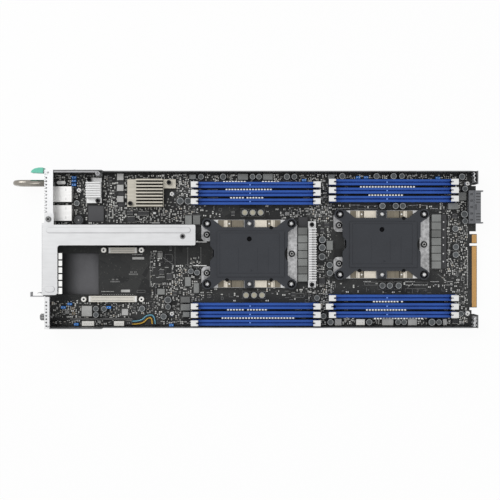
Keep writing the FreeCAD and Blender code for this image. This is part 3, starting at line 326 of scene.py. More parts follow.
def overpaint(mat, mask, colour):
    """Lays a second colour over a finish where the mask socket is one."""
    tree = mat.node_tree
    base = tree.nodes["Principled BSDF"].inputs["Base Color"]
    mix = add_node(tree, "Mix", {"Factor": mask}, data_type="RGBA")
    under, over = (socket for socket in mix.inputs if socket.type == "RGBA")
    tree.links.new(base.links[0].from_socket, under)
    over.default_value = (*colour, 1)
    tree.links.new(next(socket for socket in mix.outputs if socket.type == "RGBA"), base)
    return mat


def bands(mat, direction, pitch, share):
    """The mask of one set of bands in a finish."""
    look = {"Direction": direction, "Pitch": pitch, "Share": share}
    return add_node(mat.node_tree, "Group", look, node_tree=BANDS).outputs["Mask"]


ALONG_X, ALONG_Y, ASLANT = (1, 0, 0), (0, 1, 0), (0.7, 0.7, 0)
RUN_PITCH, RUN_WIDTH, RUN_PATCHES = 1.3 * MM, 0.35, 0.62
PATCH_SCALE, HOLE_SCALE, HOLE_SIZE = 60, 330, 0.12


def board_mask():
    """Black solder mask: faint copper runs in patches, each patch one way, and fine tinned holes."""
    mat = coated("board_mask", (0.0185, 0.019, 0.0195), 0.5, scale=260, amount=0.2, mottle=0.15, bump=0.03,
                 shine=0.2)
    tree = mat.node_tree
    place = surface_place(tree)
    patch = add_node(tree, "TexVoronoi", {"Vector": place, "Scale": PATCH_SCALE}).outputs["Color"]
    split = add_node(tree, "SeparateColor", {0: patch}).outputs
    for channel, direction in (("Red", ALONG_X), ("Green", ALONG_Y), ("Blue", ASLANT)):
        here = reckon(tree, "GREATER_THAN", split[channel], RUN_PATCHES)
        runs = bands(mat, direction, RUN_PITCH, RUN_WIDTH)
        overpaint(mat, reckon(tree, "MULTIPLY", here, runs), (0.044, 0.045, 0.044))
    holes = add_node(tree, "TexVoronoi", {"Vector": place, "Scale": HOLE_SCALE}).outputs["Distance"]
    return overpaint(mat, reckon(tree, "LESS_THAN", holes, HOLE_SIZE), (0.12, 0.12, 0.11))


def contact_field():
    """A dark field with a grid of fine gold contacts."""
    mat = coated("contact_field", (0.022, 0.022, 0.023), 0.5, scale=1500, shine=0.2)
    rows, columns = (bands(mat, direction, 1.0 * MM, 0.5) for direction in (ALONG_X, ALONG_Y))
    return overpaint(mat, reckon(mat.node_tree, "MULTIPLY", rows, columns), (0.5, 0.36, 0.15))


# Where the painted shadow of the riser bracket on the film begins and where it is darkest, along X.
FILM_SHADOW_SPAN = mm(-203, -224)


def film_with_painted_shadow():
    """Insulating film with a painted shadow of the riser bracket, darker towards the panel."""
    mat = coated("insulating_film", (0.134, 0.134, 0.142), 0.4, scale=200, amount=0.04, mottle=0.06,
                 shine=0.25)
    tree = mat.node_tree
    along = add_node(tree, "SeparateXYZ", {0: surface_place(tree)}).outputs["X"]
    stretch = {"Value": along, "From Min": FILM_SHADOW_SPAN[0], "From Max": FILM_SHADOW_SPAN[1]}
    painted_shadow = add_node(tree, "MapRange", stretch, interpolation_type="SMOOTHSTEP").outputs[0]
    return overpaint(mat, painted_shadow, (0.012, 0.012, 0.013))


def gold_pads():
    """The gold edge, with a fine dark line between its pads."""
    mat = coated("gold_pads", (0.55, 0.31, 0.105), 0.42, 0.4, 800, 0.06)
    return overpaint(mat, bands(mat, ALONG_Y, 1.0 * MM, 0.16), (0.28, 0.16, 0.055))


BRUSHED_X = (0.12, 1, 1)
BRUSHED_Y = (1, 0.15, 1)
STEEL = coated("satin_zinc_sheet", (0.59, 0.593, 0.6), 0.45, 0.7, 500, 0.035, 0.03, 0.03, BRUSHED_X)
PANEL = coated("panel_zinc_sheet", (0.68, 0.683, 0.69), 0.45, 0.65, 500, 0.03, 0.03, 0.03, BRUSHED_Y)
TRAY = coated("tray_zinc", (0.17, 0.173, 0.175), 0.5, 0.6, 500, 0.08, 0.2, 0.05, BRUSHED_X)
# A grey steel for small parts, seams, holes and rivets, also used as painted shade beside the bracket's ribs.
GREY_STEEL_AND_SHADE = coated("grey_steel_and_painted_shade", (0.36, 0.36, 0.37), 0.5, 0.6, 500, 0.05)
BRIGHT = coated("bright_plate", (0.66, 0.66, 0.65), 0.28, 1.0, 900, 0.08, 0.04, 0.04)
KNOB = coated("dull_steel_knob", (0.2, 0.2, 0.2), 0.4, 0.9, 900, 0.1, 0.1)
BOLSTER = coated("bolster_steel", (0.36, 0.36, 0.365), 0.42, 0.8, 330, 0.35, 0.2, 0.1)
NICKEL = coated("warm_nickel", (0.17, 0.15, 0.115), 0.4, 0.7, 600, 0.15, 0.1, 0.05, BRUSHED_Y)
RING = coated("post_silver", (0.8, 0.785, 0.74), 0.3, 0.5, 600, 0.04)
FINGER = coated("finger_silver", (0.93, 0.93, 0.91), 0.15, 1.0, 600, 0.03, 0.02, 0.01)
CREAM = coated("cream_nickel", (0.66, 0.61, 0.52), 0.4, 0.5, 600, 0.05)
CHROME = coated("handle_chrome", (0.29, 0.27, 0.24), 0.18, 1.0, 300, 0.06, 0.06, 0.01)
BOARD = board_mask()
FILM = film_with_painted_shadow()
CONTACTS = contact_field()
GOLD = gold_pads()
BLACK = coated("black_moulding", (0.02, 0.02, 0.021), 0.55, scale=1500, amount=0.2, shine=0.25)
CONNECTOR = coated("grey_moulding", (0.155, 0.16, 0.17), 0.5, scale=1400, amount=0.12, shine=0.3)
# Near black for slits, recesses and holes, also used as painted shade behind the contact fingers and round
# the cover posts.
DARK = coated("dark_cavity_and_painted_shade", (0.006, 0.006, 0.007), 0.8, scale=900, shine=0.1)
BLUE = coated("blue_moulding", (0.026, 0.09, 0.375), 0.45, scale=1200, amount=0.08, mottle=0.1, shine=0.25)
# The slot floor and its teeth are a lighter blue than the moulding: painted light against the shade in the
# slot.
SLOT_BLUE_LIT = coated("slot_floor_painted_light", (0.03, 0.1, 0.46), 0.6, scale=1200, shine=0.15)
TEETH_BLUE_LIT = coated("slot_teeth_painted_light", (0.032, 0.1, 0.44), 0.5, scale=1200, shine=0.2)
SKY = coated("pale_blue_key", (0.2, 0.36, 0.8), 0.5, scale=1200)
JUMPER = coated("jumper_blue", (0.06, 0.26, 0.74), 0.45, scale=1200, shine=0.3)
WHITE = coated("latch_white", (0.84, 0.84, 0.83), 0.5, scale=1200, amount=0.03, mottle=0.02)
COVER = coated("cover_moulding", (0.039, 0.042, 0.049), 0.5, scale=1600, amount=0.1, bump=0.14, shine=0.22)
COVER_LINE = coated("cover_rib", (0.03, 0.032, 0.038), 0.55, scale=1600, amount=0.1, shine=0.2)
SOCKET = coated("socket_moulding", (0.02, 0.02, 0.021), 0.6, scale=1500, shine=0.2)
IVORY = coated("ivory_moulding", (0.72, 0.69, 0.62), 0.5, scale=1300, amount=0.05)
HEADER = coated("header_moulding", (0.85, 0.835, 0.79), 0.5, scale=1300, amount=0.04)
TEAL = coated("teal_moulding", (0.15, 0.58, 0.43), 0.45, scale=900, amount=0.06)
CHAMPAGNE = coated("champagne_alloy", (0.47, 0.445, 0.385), 0.42, 0.6, 500, 0.08, 0.03, 0.04, BRUSHED_X)
ALLOY = coated("bare_alloy", (0.7, 0.7, 0.7), 0.42, 0.6, 500, 0.05, 0.03, 0.04, BRUSHED_X)
CAN = coated("can_top", (0.068, 0.075, 0.079), 0.35, 0.4, 900, 0.15, 0.3)
CAN_RIM = coated("can_rim", (0.33, 0.34, 0.345), 0.32, 0.9, 900, 0.1, 0.1)
CAN_WARM = coated("can_top_warm", (0.34, 0.32, 0.25), 0.35, 0.7, 900, 0.1, 0.15)
POWDER = coated("pressed_powder", (0.205, 0.212, 0.206), 0.55, 0.1, 2600, 0.18, 0.15, 0.2)
POWDER_DARK = coated("pressed_powder_dark", (0.14, 0.144, 0.14), 0.55, 0.1, 2600, 0.18, 0.15, 0.2)
# A lighter copy of the pressed powder: painted light for chokes that sit in shade.
POWDER_LIT = coated("pressed_powder_painted_light", (0.4, 0.4, 0.39), 0.5, 0.2, 2600, 0.15, 0.15, 0.2)
CHIP = coated("chip_package", (0.045, 0.045, 0.048), 0.5, scale=1800, amount=0.12, shine=0.3)
LID = coated("package_lid", (0.075, 0.075, 0.08), 0.45, scale=1500, amount=0.06, shine=0.3)
# Painted shade for the floor between the chipset heatsink's fins.
FIN_SHADE = coated("painted_fin_shade", (0.035, 0.032, 0.028), 0.6, 0.2, 500, 0.1)
SHIELD = coated("jack_shield", (0.8, 0.795, 0.785), 0.35, 0.6, 400, 0.03, 0.04, 0.03, BRUSHED_X)
TIN = coated("solder_tin", (0.56, 0.56, 0.54), 0.35, 0.9, 1500, 0.12, 0.25)
PAD = coated("tinned_pad", (0.8, 0.8, 0.78), 0.12, 1.0, 1500, 0.04, 0.03, 0.01)
TAN = coated("ceramic_tan", (0.25, 0.2, 0.14), 0.5, scale=1500, amount=0.1, mottle=0.3)
GREY = coated("ceramic_grey", (0.24, 0.24, 0.235), 0.5, scale=1500, amount=0.1, mottle=0.3)
PALE = coated("ceramic_pale", (0.42, 0.42, 0.4), 0.5, scale=1500, amount=0.1, mottle=0.2)
INK = coated("printed_ink", (0.5, 0.5, 0.49), 0.7, scale=2000, amount=0.12, mottle=0.2)
INK_DIM = coated("printed_ink_worn", (0.2, 0.2, 0.197), 0.7, scale=2000, amount=0.15, mottle=0.3)
LAMP_GREEN = coated("lamp_green", (0.1, 0.4, 0.12), 0.3)
WIRE_COLOURS = [coated("wire_blue", (0.16, 0.42, 0.56), 0.45), coated("wire_black", (0.02, 0.02, 0.02), 0.45),
                coated("wire_yellow", (0.7, 0.42, 0.05), 0.45)]

NODE_FINISH = {
    "tray": TRAY, "rear_panel": PANEL, "insulator_sheet": FILM, "standoffs": BRIGHT, "mainboard": BOARD,
    "edge_contacts": GOLD, "backplane_connector": CONNECTOR, "memory_sockets": BLUE,
    "cpu_1_cover": COVER, "cpu_2_cover": COVER, "bolster_plates": BOLSTER, "bolster_springs": NICKEL,
    "chipset_heatsink": CHAMPAGNE, "network_heatsink": ALLOY, "regulator_heatsink": ALLOY, "chips": CHIP,
    "network_jacks": SHIELD, "mezzanine_connectors": IVORY, "pin_headers": HEADER, "riser_bracket": STEEL,
    "riser_card": BOARD, "riser_slots": BLACK, "slot_cover": GREY_STEEL_AND_SHADE, "lever_arm": GREY_STEEL_AND_SHADE, "lever_grip": TEAL,
}
# Width of the softened edges, in millimetres.
EDGE_WIDTH = {
    "tray": 0.25, "rear_panel": 0.25, "riser_bracket": 0.9, "cpu_1_cover": 0.5, "cpu_2_cover": 0.5,
    "lever_grip": 1.2, "chipset_heatsink": 0.2, "network_heatsink": 0.2, "backplane_connector": 0.4,
    "network_jacks": 0.3, "memory_sockets": 0.25, "bolster_plates": 0.4, "mezzanine_connectors": 0.3,
}
LATCH_EDGE = 0.3
COVERS = ("cpu_1_cover", "cpu_2_cover")
CPUS = [middle(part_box(cover)) for cover in COVERS]
board_low, board_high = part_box("mainboard")
TOP = board_high[2]


def add_camera():
    lens = bpy.data.cameras.new("photo_camera")
    lens.sensor_width = SENSOR
    lens.lens = LENS
    camera = bpy.data.objects.new("photo_camera", lens)
    camera.location = (*mm(VIEW_X, VIEW_Y), CAMERA_HEIGHT)
    bpy.context.scene.collection.objects.link(camera)
    bpy.context.scene.camera = camera


# The harness: the route of its middle lead in millimetres, and what is known of each lead.
LEAD_ROUTE = [(-145.1, -81.5), (-134.1, -81.5), (-128.6, -74.6), (-121.1, -74.6), (-121.1, -84.75)]
LEAD_LEVELS = (10.7, 9.7, 8.75, 8.75, 9.6)
LEAD_RADIUS = 0.7
LEAD_STEP = 1.61
LEAD_LENGTHS = (36.4, 33.8, 31.3)


def beside(points, shift):
    """The route moved sideways in plan, to the left of its run."""
    runs = [(b - a).normalized() for a, b in zip(points, points[1:])]
    sides = [Vector((-run.y, run.x)) for run in runs]
    moved = [points[0] + sides[0] * shift]
    for point, one, two in zip(points[1:], sides, sides[1:]):
        moved.append(point + (one + two) * (shift / (1 + one.dot(two))))
    return moved + [points[-1] + sides[-1] * shift]


def make_leads():
    """Three insulated leads from the plug, looped up over the board and down to its edge."""
    route = [Vector(point) for point in LEAD_ROUTE]
    for k, (finish, length) in enumerate(zip(WIRE_COLOURS, LEAD_LENGTHS)):
        plan = beside(route, (1 - k) * LEAD_STEP)
        points = [mm(p.x, p.y, level) for p, level in zip(plan, LEAD_LEVELS)]
        curve = bpy.data.curves.new(f"lead_{k + 1}", "CURVE")
        curve.dimensions = "3D"
        curve.bevel_depth = LEAD_RADIUS * MM
        curve.bevel_resolution = 3
        curve.use_fill_caps = True
        spline = curve.splines.new("NURBS")
        spline.points.add(len(points) - 1)
        for control, place in zip(spline.points, points):
            control.co = (*place, 1)
        spline.order_u = 3
        spline.use_endpoint_u = True
        curve.materials.append(finish)
        lead = bpy.data.objects.new(f"lead_{k + 1}", curve)
        bpy.context.scene.collection.objects.link(lead)
        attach(lead, BODY)
        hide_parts("wire_harness")
        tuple(points[0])


CLIP_BODY = mm(8.4, 1.7, 3)
CLIP_RIDGE = mm(5.2, 1, 0.5)
CLIP_FOOT = mm(1.6, 1.4, 1.2)
CLIP_FOOT_REACH = 4.9 * MM
CLIP_SETBACK = 0.9


def make_lead_clip():
    """The black clip at the board's edge that takes the ends of the leads."""
    clip = Shape("lead_clip", [BLACK])
    end_x, end_y = LEAD_ROUTE[-1]
    x, y = mm(end_x, end_y + CLIP_SETBACK)
    clip.block(x, y, TOP, *CLIP_BODY)
    clip.block(x, y, TOP + CLIP_BODY[2], *CLIP_RIDGE)
    for side in SIDES:
        clip.block(x + side * CLIP_FOOT_REACH, y, TOP, *CLIP_FOOT)
    clip.build(bevel=0.2 * MM)


def dress_nodes():
    """Gives each CAD node that stays its finish and softened edges."""
    for name, node in nodes.items():
        latch = name.startswith("latch_")
        node.data.materials.clear()
        node.data.materials.append(WHITE if latch else NODE_FINISH.get(name, BRIGHT))
        width = LATCH_EDGE if latch else EDGE_WIDTH.get(name)
        if width:
            soften(node, width * MM)


CAN_FOOT = 0.9 * MM
FOOT_SHARE = 1.9
# The top of a can: radius as a share of the can's, and millimetres below its highest edge.
CAN_TOP = [(0.94, 0.9), (0.99, 0.5), (0.93, 0), (0.8, 0), (0.74, 0.3), (0, 0.25)]
# Cans this near to the first processor have a warm top.
WARM_REACH = mm(20, 50)


def make_cans():
    """Capacitor cans on square feet: a rolled bright rim round a slightly sunk top."""
    cans = Shape("capacitor_cans", [CAN, CAN_RIM, CAN_WARM, BLACK])
    cpu_x, cpu_y, _ = CPUS[0]
    for x, y, foot, across, _, height in solids("capacitors"):
        r = across / 2
        warm = abs(x - cpu_x) < WARM_REACH[0] and abs(y - cpu_y) < WARM_REACH[1]
        cans.block(x, y, foot, FOOT_SHARE * r, FOOT_SHARE * r, CAN_FOOT, BLACK)
        profile = [(r * CAN_TOP[0][0], CAN_FOOT)]
        profile += [(r * share, height - drop * MM) for share, drop in CAN_TOP]
        cans.turned((x, y, foot), profile, [CAN_RIM] * 5 + [CAN_WARM if warm else CAN])
    cans.build(replaces=["capacitors"])


CHOKE_LIFT = 0.4 * MM
CHOKE_END = 1.2 * MM
CHOKE_END_SHARE = 0.55
DARK_EVERY = 5
LIT_BEHIND = -140 * MM
LIT_NEAR_EDGE = 9 * MM


def make_chokes():
    """Moulded chokes with rounded corners on tinned ends. Those by the panel and the near edge are paler:
    painted light against their shade.
    """
    chokes = Shape("choke_blocks", [POWDER, POWDER_DARK, POWDER_LIT, TIN])
    for k, (x, y, foot, length, width, height) in enumerate(solids("chokes")):
        shade = POWDER_DARK if k % DARK_EVERY == 2 else POWDER
        if x < LIT_BEHIND or y < board_low[1] + LIT_NEAR_EDGE:
            shade = POWDER_LIT
        chokes.block(x, y, foot + CHOKE_LIFT, length, width, height - CHOKE_LIFT, shade)
        for side in SIDES:
            at = x + side * (length - CHOKE_END) / 2
            chokes.block(at, y, foot, CHOKE_END, width * CHOKE_END_SHARE, CHOKE_LIFT, TIN)
    chokes.build(replaces=["chokes"], bevel=0.6 * MM)


def star(x, y, r, points=24, lobes=6, depth=0.16):
    """A lobed recess in plan."""
    outline = []
    for i in range(points):
        turn = 2 * math.pi * i / points
        reach = r * (1 + depth * math.cos(lobes * turn))
        outline.append((x + reach * math.cos(turn), y + reach * math.sin(turn)))
    return outline


BRACKET_LEVEL = 30 * MM
RIVET_HEIGHT = 1 * MM
PIN_SLENDERNESS = 5
SEAT_SPACE = 0.2 * MM


def make_screws():
    """Screw heads with a six-lobed recess, dull up on the bracket, in a black ring on the bolsters."""
    screws = Shape("screw_heads", [BRIGHT, DARK, BLACK, KNOB])
    bolster_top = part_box("bolster_plates")[1][2]
    for x, y, foot, across, _, height in solids("fasteners"):
        r = across / 2
        raised = foot > BRACKET_LEVEL
        metal = KNOB if raised else BRIGHT
        if height > PIN_SLENDERNESS * r:
            screws.turned((x, y, foot), [(r, 0), (r, height - 0.3 * MM), (r * 0.7, height)], KNOB)
        elif height < RIVET_HEIGHT:
            flat = [(r, 0), (r * 0.95, height * 0.8), (r * 0.55, height * 0.8), (r * 0.3, height * 0.3)]
            screws.turned((x, y, foot), flat, [metal, metal, DARK])
        else:
            ringed = abs(foot - bolster_top) < SEAT_SPACE
            collar, head = (1.2 * r, 0.74 * r) if ringed else (1.02 * r, 0.9 * r)
            rim = [(collar, 0), (collar, height * 0.3), (head, height * 0.45)]
            screws.turned((x, y, foot), rim, BLACK if ringed else metal)
            dome = [(head, height * 0.3), (head * 0.98, height * 0.7), (head * 0.75, height * 0.97)]
            screws.turned((x, y, foot), dome, metal)
            recess = star(x, y, head * (0.6 if ringed else 0.42))
            screws.prism(recess, foot + height * 0.9, foot + height, DARK if ringed or raised else KNOB)
    screws.build(replaces=["fasteners"])


def make_posts():
    """Guide posts: a plain collar, a threaded length and a pointed tip."""
    posts = Shape("guide_posts", [BRIGHT])
    for x, y, foot, _, across, height in solids("bolster_posts"):
        r = across / 2
        profile = [(r, 0), (r, height * 0.5)]
        for k in range(4):
            z = height * (0.5 + 0.08 * k)
            profile += [(r * 0.86, z + height * 0.03), (r, z + height * 0.07)]
        profile += [(r * 0.85, height * 0.9), (r * 0.35, height)]
        posts.turned((x, y, foot), profile, segments=16)
    posts.build(replaces=["bolster_posts"])


def make_push_pins():
    """Heatsink pins: a black cap with a sunk middle over a coil of spring wire."""
    pins = Shape("push_pin_caps", [BLACK, DARK, BRIGHT])
    for x, y, foot, _, across, height in solids("push_pins"):
        r = across / 2
        coil = [(r * 0.7, 0)]
        for k in range(4):
            z = height * (0.06 + 0.14 * k)
            coil += [(r * 0.84, z + 0.04 * height), (r * 0.7, z + 0.09 * height)]
        cap = [(r, height * 0.66), (r, height * 0.92), (r * 0.85, height), (r * 0.5, height),
               (r * 0.4, height * 0.7)]
        finishes = [BRIGHT] * (len(coil) - 1) + [BLACK] * 4 + [DARK]
        pins.turned((x, y, foot), coil + cap, finishes)
    pins.build(replaces=["push_pins"])


SOUNDER_RINGS = (0.78, 0.55, 0.34)


def make_sounder():
    """A round sounder: black case, ringed top and a bright middle."""
    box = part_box("sounder")
    x, y, _ = middle(box)
    r, height = spans(box)[1] / 2, spans(box)[2]
    profile = [(r, 0), (r, height * 0.95), (r * 0.94, height)]
    for ring in SOUNDER_RINGS:
        profile += [(r * ring, height), (r * (ring - 0.02), height * 0.96),
                    (r * (ring - 0.09), height * 0.96), (r * (ring - 0.11), height)]
    profile += [(r * 0.14, height), (r * 0.1, height * 0.9)]
    groove = [BLACK] + [CONNECTOR] * 3
    case = Shape("sounder_case", [BLACK, CONNECTOR, TIN])
    case.turned((x, y, box[0][2]), profile, [BLACK] * 2 + groove * len(SOUNDER_RINGS) + [BLACK, TIN], 32)
    case.build(replaces=["sounder"])


# Half the section of a ring post: radius and height above the board.
RING_POST = [mm(2.95, 0), mm(2.95, 5.7), mm(2.65, 6.05), mm(1.6, 6.05), mm(1.5, 4.8)]
LEAST_RISE = 1 * MM


def make_post_rims():
    """Turned rims on the four ring posts beside the mezzanine connectors, with a shallow bore painted black:
    painted shade of a deep hole.
    """
    rims = Shape("ring_posts", [RING, BLACK])
    for box in islands("standoffs"):
        if box[1][2] > TOP + LEAST_RISE:
            x, y, _ = middle(box)
            rims.turned((x, y, TOP), RING_POST, [RING] * 3 + [BLACK], 24)
    rims.build()


HANDLE_BEND = 9 * MM
BEND_STEPS = 12
ROD_SEGMENTS = 24


def make_handle():
    """The bent rod, swept smooth along its U."""
    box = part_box("pull_handle")
    (x0, _, z0), (x1, _, z1) = box
    y = middle(box)[1]
    r = spans(box)[1] / 2
    low, high = z0 + r, z1 - r
    turn_x = x0 + r + HANDLE_BEND
    spine = [((x1, low), (-1, 0))]
    for level, first in ((low + HANDLE_BEND, 270), (high - HANDLE_BEND, 180)):
        for i in range(BEND_STEPS + 1):
            turn = math.radians(first - 90 * i / BEND_STEPS)
            place = (turn_x + HANDLE_BEND * math.cos(turn), level + HANDLE_BEND * math.sin(turn))
            spine.append((place, (math.sin(turn), -math.cos(turn))))
    spine.append(((x1, high), (1, 0)))
    points, faces = [], []
    for (px, pz), (tx, tz) in spine:
        for i in range(ROD_SEGMENTS):
            turn = 2 * math.pi * i / ROD_SEGMENTS
            side, lift = r * math.cos(turn), r * math.sin(turn)
            points.append((px - tz * lift, y + side, pz + tx * lift))
    for k in range(len(spine) - 1):
        a, b = k * ROD_SEGMENTS, (k + 1) * ROD_SEGMENTS
        for i in range(ROD_SEGMENTS):
            j = (i + 1) % ROD_SEGMENTS
            faces.append((a + i, b + i, b + j, a + j))
    last = len(points) - ROD_SEGMENTS
    faces += [tuple(range(ROD_SEGMENTS)), tuple(reversed(range(last, len(points))))]
    rod = Shape("pull_rod", [CHROME])
    rod.add(points, faces)
    rod.build(replaces=["pull_handle"], smooth=True)


KNOB_GAP = 0.4 * MM
KNOB_SLOT = 0.5 * MM


def make_knob():
    """The thumbscrew: a knurled drum with a slotted, rounded end and a plain shank."""
    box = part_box("thumbscrew")
    _, y, z = middle(box)
    r = spans(box)[1] / 2
    end, tip = box[0][0], box[1][0]
    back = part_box("rear_panel")[0][0] - KNOB_GAP
    knob = Shape("thumbscrew_knob", [KNOB, DARK])
    drum = [(r * 0.5, end + 0.1 * MM), (r * 0.86, end + 0.7 * MM), (r * 0.98, end + 1.5 * MM),
            (r * 0.98, back - 0.5 * MM), (r * 0.9, back)]
    knob.turned((0, y, z), drum, KNOB, 48, "x", knurl=0.06)
    shank = [(r * 0.48, back - 0.2 * MM), (r * 0.48, tip - 0.4 * MM), (r * 0.36, tip)]
    knob.turned((0, y, z), shank, KNOB, 24, "x")
    knob.box((end, y - r * 0.45, z - KNOB_SLOT), (end + 0.5 * MM, y + r * 0.45, z + KNOB_SLOT), DARK)
    knob.build(body="thumbscrew", replaces=["thumbscrew"])


# Rows of tinned parts between the memory sockets: first and last column, and row, in the photograph.
GAP_ROWS = [(226.5, 273, 189.6), (231, 244.5, 198.2), (247.5, 264.5, 198.2), (228, 245, 310.2),
            (248, 268, 310.2), (222.5, 295, 318.7), (361, 416, 187.2), (369.5, 404, 195.6),
            (374, 399, 301.8), (402, 404, 301.8), (367, 408, 310.3)]
EDGE_ROWS = [(224, 246, 181.6), (263, 278, 181.6), (375, 425, 318.6)]
DOT_PITCH = 3.28
TINNED_DOT = mm(1.95, 1.4, 1.2)
GREY_DOT = mm(1.2, 1.2, 1)
# Short printed dashes in the same gaps.
GAP_PRINT = [(199, 204, 189.6), (208, 219, 189.6), (307, 311, 189.6), (199, 204, 198.2), (208, 219, 198.2),
             (304, 312, 198.2), (199, 203, 310.2), (296, 304, 310.2), (307, 312, 310.2), (199, 203, 318.7),
             (300, 307, 318.7)]
GAP_PRINT += [(first, first + 5, row) for row in (187.2, 195.6, 301.8, 310.3) for first in (345, 445)]
DASH_PITCH = 1.5
GAP_DASH = mm(1.1, 1, 0.05)
# One memory slot, from the middle and foot of its socket: half its length, its key and its contact teeth.
SLOT_END = 62.9 * MM
SLOT_HALF_WIDTH = 0.78 * MM
SLOT_FLOOR = mm(7, 7.4)
BAR_HEIGHT = 10 * MM
KEY_SHIFT = 6.2 * MM
KEY_HALF = 1.1 * MM
KEY_MARK = mm(1.2, 1.3, 0.2)
TOOTH = mm(0.6, 0.2, 2)
TOOTH_PITCH = 1.7 * MM
TOOTH_SIDE = 0.66 * MM


def gap_middle(sockets, x, y):
    """The middle of the gap between two memory sockets that lies nearest to a place."""
    lanes = sorted(middle(box)[1] for box in sockets if box[0][0] < x < box[1][0])
    gaps = [(a + b) / 2 for a, b in zip(lanes, lanes[1:])]
    return min(gaps, key=lambda gap: abs(gap - y))


def fill_slot(fine, x, y, foot):
    """The floor and contact teeth, in a lighter blue that is painted light, and the pale key mark of one
    memory slot.
    """
    key = x - KEY_SHIFT
    floor, teeth = (foot + level for level in SLOT_FLOOR)
    for low, high in ((x - SLOT_END, key - KEY_HALF), (key + KEY_HALF, x + SLOT_END)):
        fine.box((low, y - SLOT_HALF_WIDTH, floor), (high, y + SLOT_HALF_WIDTH, teeth), SLOT_BLUE_LIT)
        for k in range(int((high - low) / TOOTH_PITCH)):
            at = low + (k + 0.5) * TOOTH_PITCH
            for side in SIDES:
                fine.block(at, y + side * TOOTH_SIDE, teeth, *TOOTH, TEETH_BLUE_LIT)
    fine.block(key, y, foot + BAR_HEIGHT, *KEY_MARK, SKY)


def make_memory_details():
    """Contact teeth in each memory slot, a pale mark at each key, tinned parts and print in the gaps."""
    fine = Shape("memory_details", [SLOT_BLUE_LIT, SKY, TEETH_BLUE_LIT, PAD, GREY, INK])
    sockets = islands("memory_sockets")
    for box in sockets:
        x, y, _ = middle(box)
        fill_slot(fine, x, y, box[0][2])
    for first, last, row in GAP_ROWS + EDGE_ROWS:
        start, y = at_pixel(first, row)
        end = at_pixel(last, row)[0]
        if (first, last, row) in GAP_ROWS:
            y = gap_middle(sockets, start, y)
        for k in range(int((end - start) / (DOT_PITCH * MM)) + 1):
            at = start + k * DOT_PITCH * MM
            fine.block(at, y, TOP, *TINNED_DOT, PAD)
            fine.block(at + DOT_PITCH / 2 * MM, y, TOP, *GREY_DOT, GREY)
    for first, last, row in GAP_PRINT:
        start, y = at_pixel(first, row)
        y = gap_middle(sockets, start, y)
        for k in range(int((last - first) * PIXEL / DASH_PITCH)):
            fine.block(start + k * DASH_PITCH * MM, y, TOP, *GAP_DASH, INK)
    fine.build()


# Grooves across the top of the backplane connector, as shares of its width, and the groove along it.
CONNECTOR_GROOVES = (0.1, 0.19, 0.28, 0.36, 0.71, 0.8, 0.89)
GROOVE_ACROSS = mm(5, 0.7, 0.05)
GROOVE_ALONG = mm(0.9, 6, 0.05)
ACROSS_SETBACK, ALONG_SETBACK = mm(5.6, 8.2)
MEZZANINE_PITCH = 0.8 * MM
MEZZANINE_START = 3.6 * MM
MEZZANINE_SINK = 0.1 * MM
BARE_CONTACTS = 8
CONTACT_LENGTH, CONTACT_HEIGHT = mm(0.42, 0.2)
END_LENGTH, END_INSET, END_HEIGHT = mm(1.8, 1.1, 0.5)
# Shares of a mezzanine connector's width.
CONTACT_SIDE, CONTACT_WIDTH, END_WIDTH = 0.22, 0.1, 0.94
HEADER_PITCH = 2 * MM
HEADER_PIN = mm(0.6, 0.6, 0.8)
PIN_SINK, PLUG_TOP = mm(0.3, 0.4)


def make_connector_details():
    """Grooves of the backplane connector, mezzanine contacts and ends, header pins and the leads' plug."""
    fine = Shape("connector_details", [GREY, TIN, WHITE, BLACK])
    low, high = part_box("backplane_connector")
    depth = high[1] - low[1]
    for share in CONNECTOR_GROOVES:
        fine.block(high[0] - ACROSS_SETBACK, high[1] - share * depth, high[2], *GROOVE_ACROSS, BLACK)
    fine.block(high[0] - ALONG_SETBACK, high[1] - 0.5 * depth, high[2], *GROOVE_ALONG, BLACK)
    for x, y, foot, length, width, height in solids("mezzanine_connectors"):
        top = foot + height - MEZZANINE_SINK
        for k in range(int(length / MEZZANINE_PITCH) - BARE_CONTACTS):
            at = x - length / 2 + MEZZANINE_START + k * MEZZANINE_PITCH
            for side in SIDES:
                row = y + side * width * CONTACT_SIDE
                fine.block(at, row, top, CONTACT_LENGTH, width * CONTACT_WIDTH, CONTACT_HEIGHT, GREY)
        for end in SIDES:
            at = x + end * (length / 2 - END_INSET)
            fine.block(at, y, top, END_LENGTH, width * END_WIDTH, END_HEIGHT, WHITE)
    headers = list(solids("pin_headers"))
    plug = min(headers, key=lambda header: abs(header[0] + header[3] / 2 - LEAD_ROUTE[0][0] * MM))
    for header in headers:
        x, y, foot, length, width, height = header
        count = int(length / HEADER_PITCH) - 1
        if header == plug:
            fine.block(x, y, foot + height, length, width, PLUG_TOP, BLACK)
        for k in range(count):
            at = x + (k - (count - 1) / 2) * HEADER_PITCH
            fine.block(at, y, foot + height - PIN_SINK, *HEADER_PIN, TIN)
    fine.build()


JACK_TAB = mm(11, 1.8, 0.2)
JACK_SEAM = mm(0.4, 2.6, 0.06)
JACK_WIRE = mm(10, 0.35, 0.3)
JACK_WIRES = 8
JACK_WIRE_PITCH = 1.02 * MM
TAB_SIDE, TAB_SHIFT, SEAM_SHIFT = mm(5, 1.5, 7.3)
LAMP_SIDE, LAMP_HALF = mm(6.6, 0.9)
LAMP_RUN = mm(-0.15, 0.4)
LAMP_LEVELS = mm(-2.6, -1.2)
WIRE_BACK, WIRE_RISE = mm(9, 2.5)


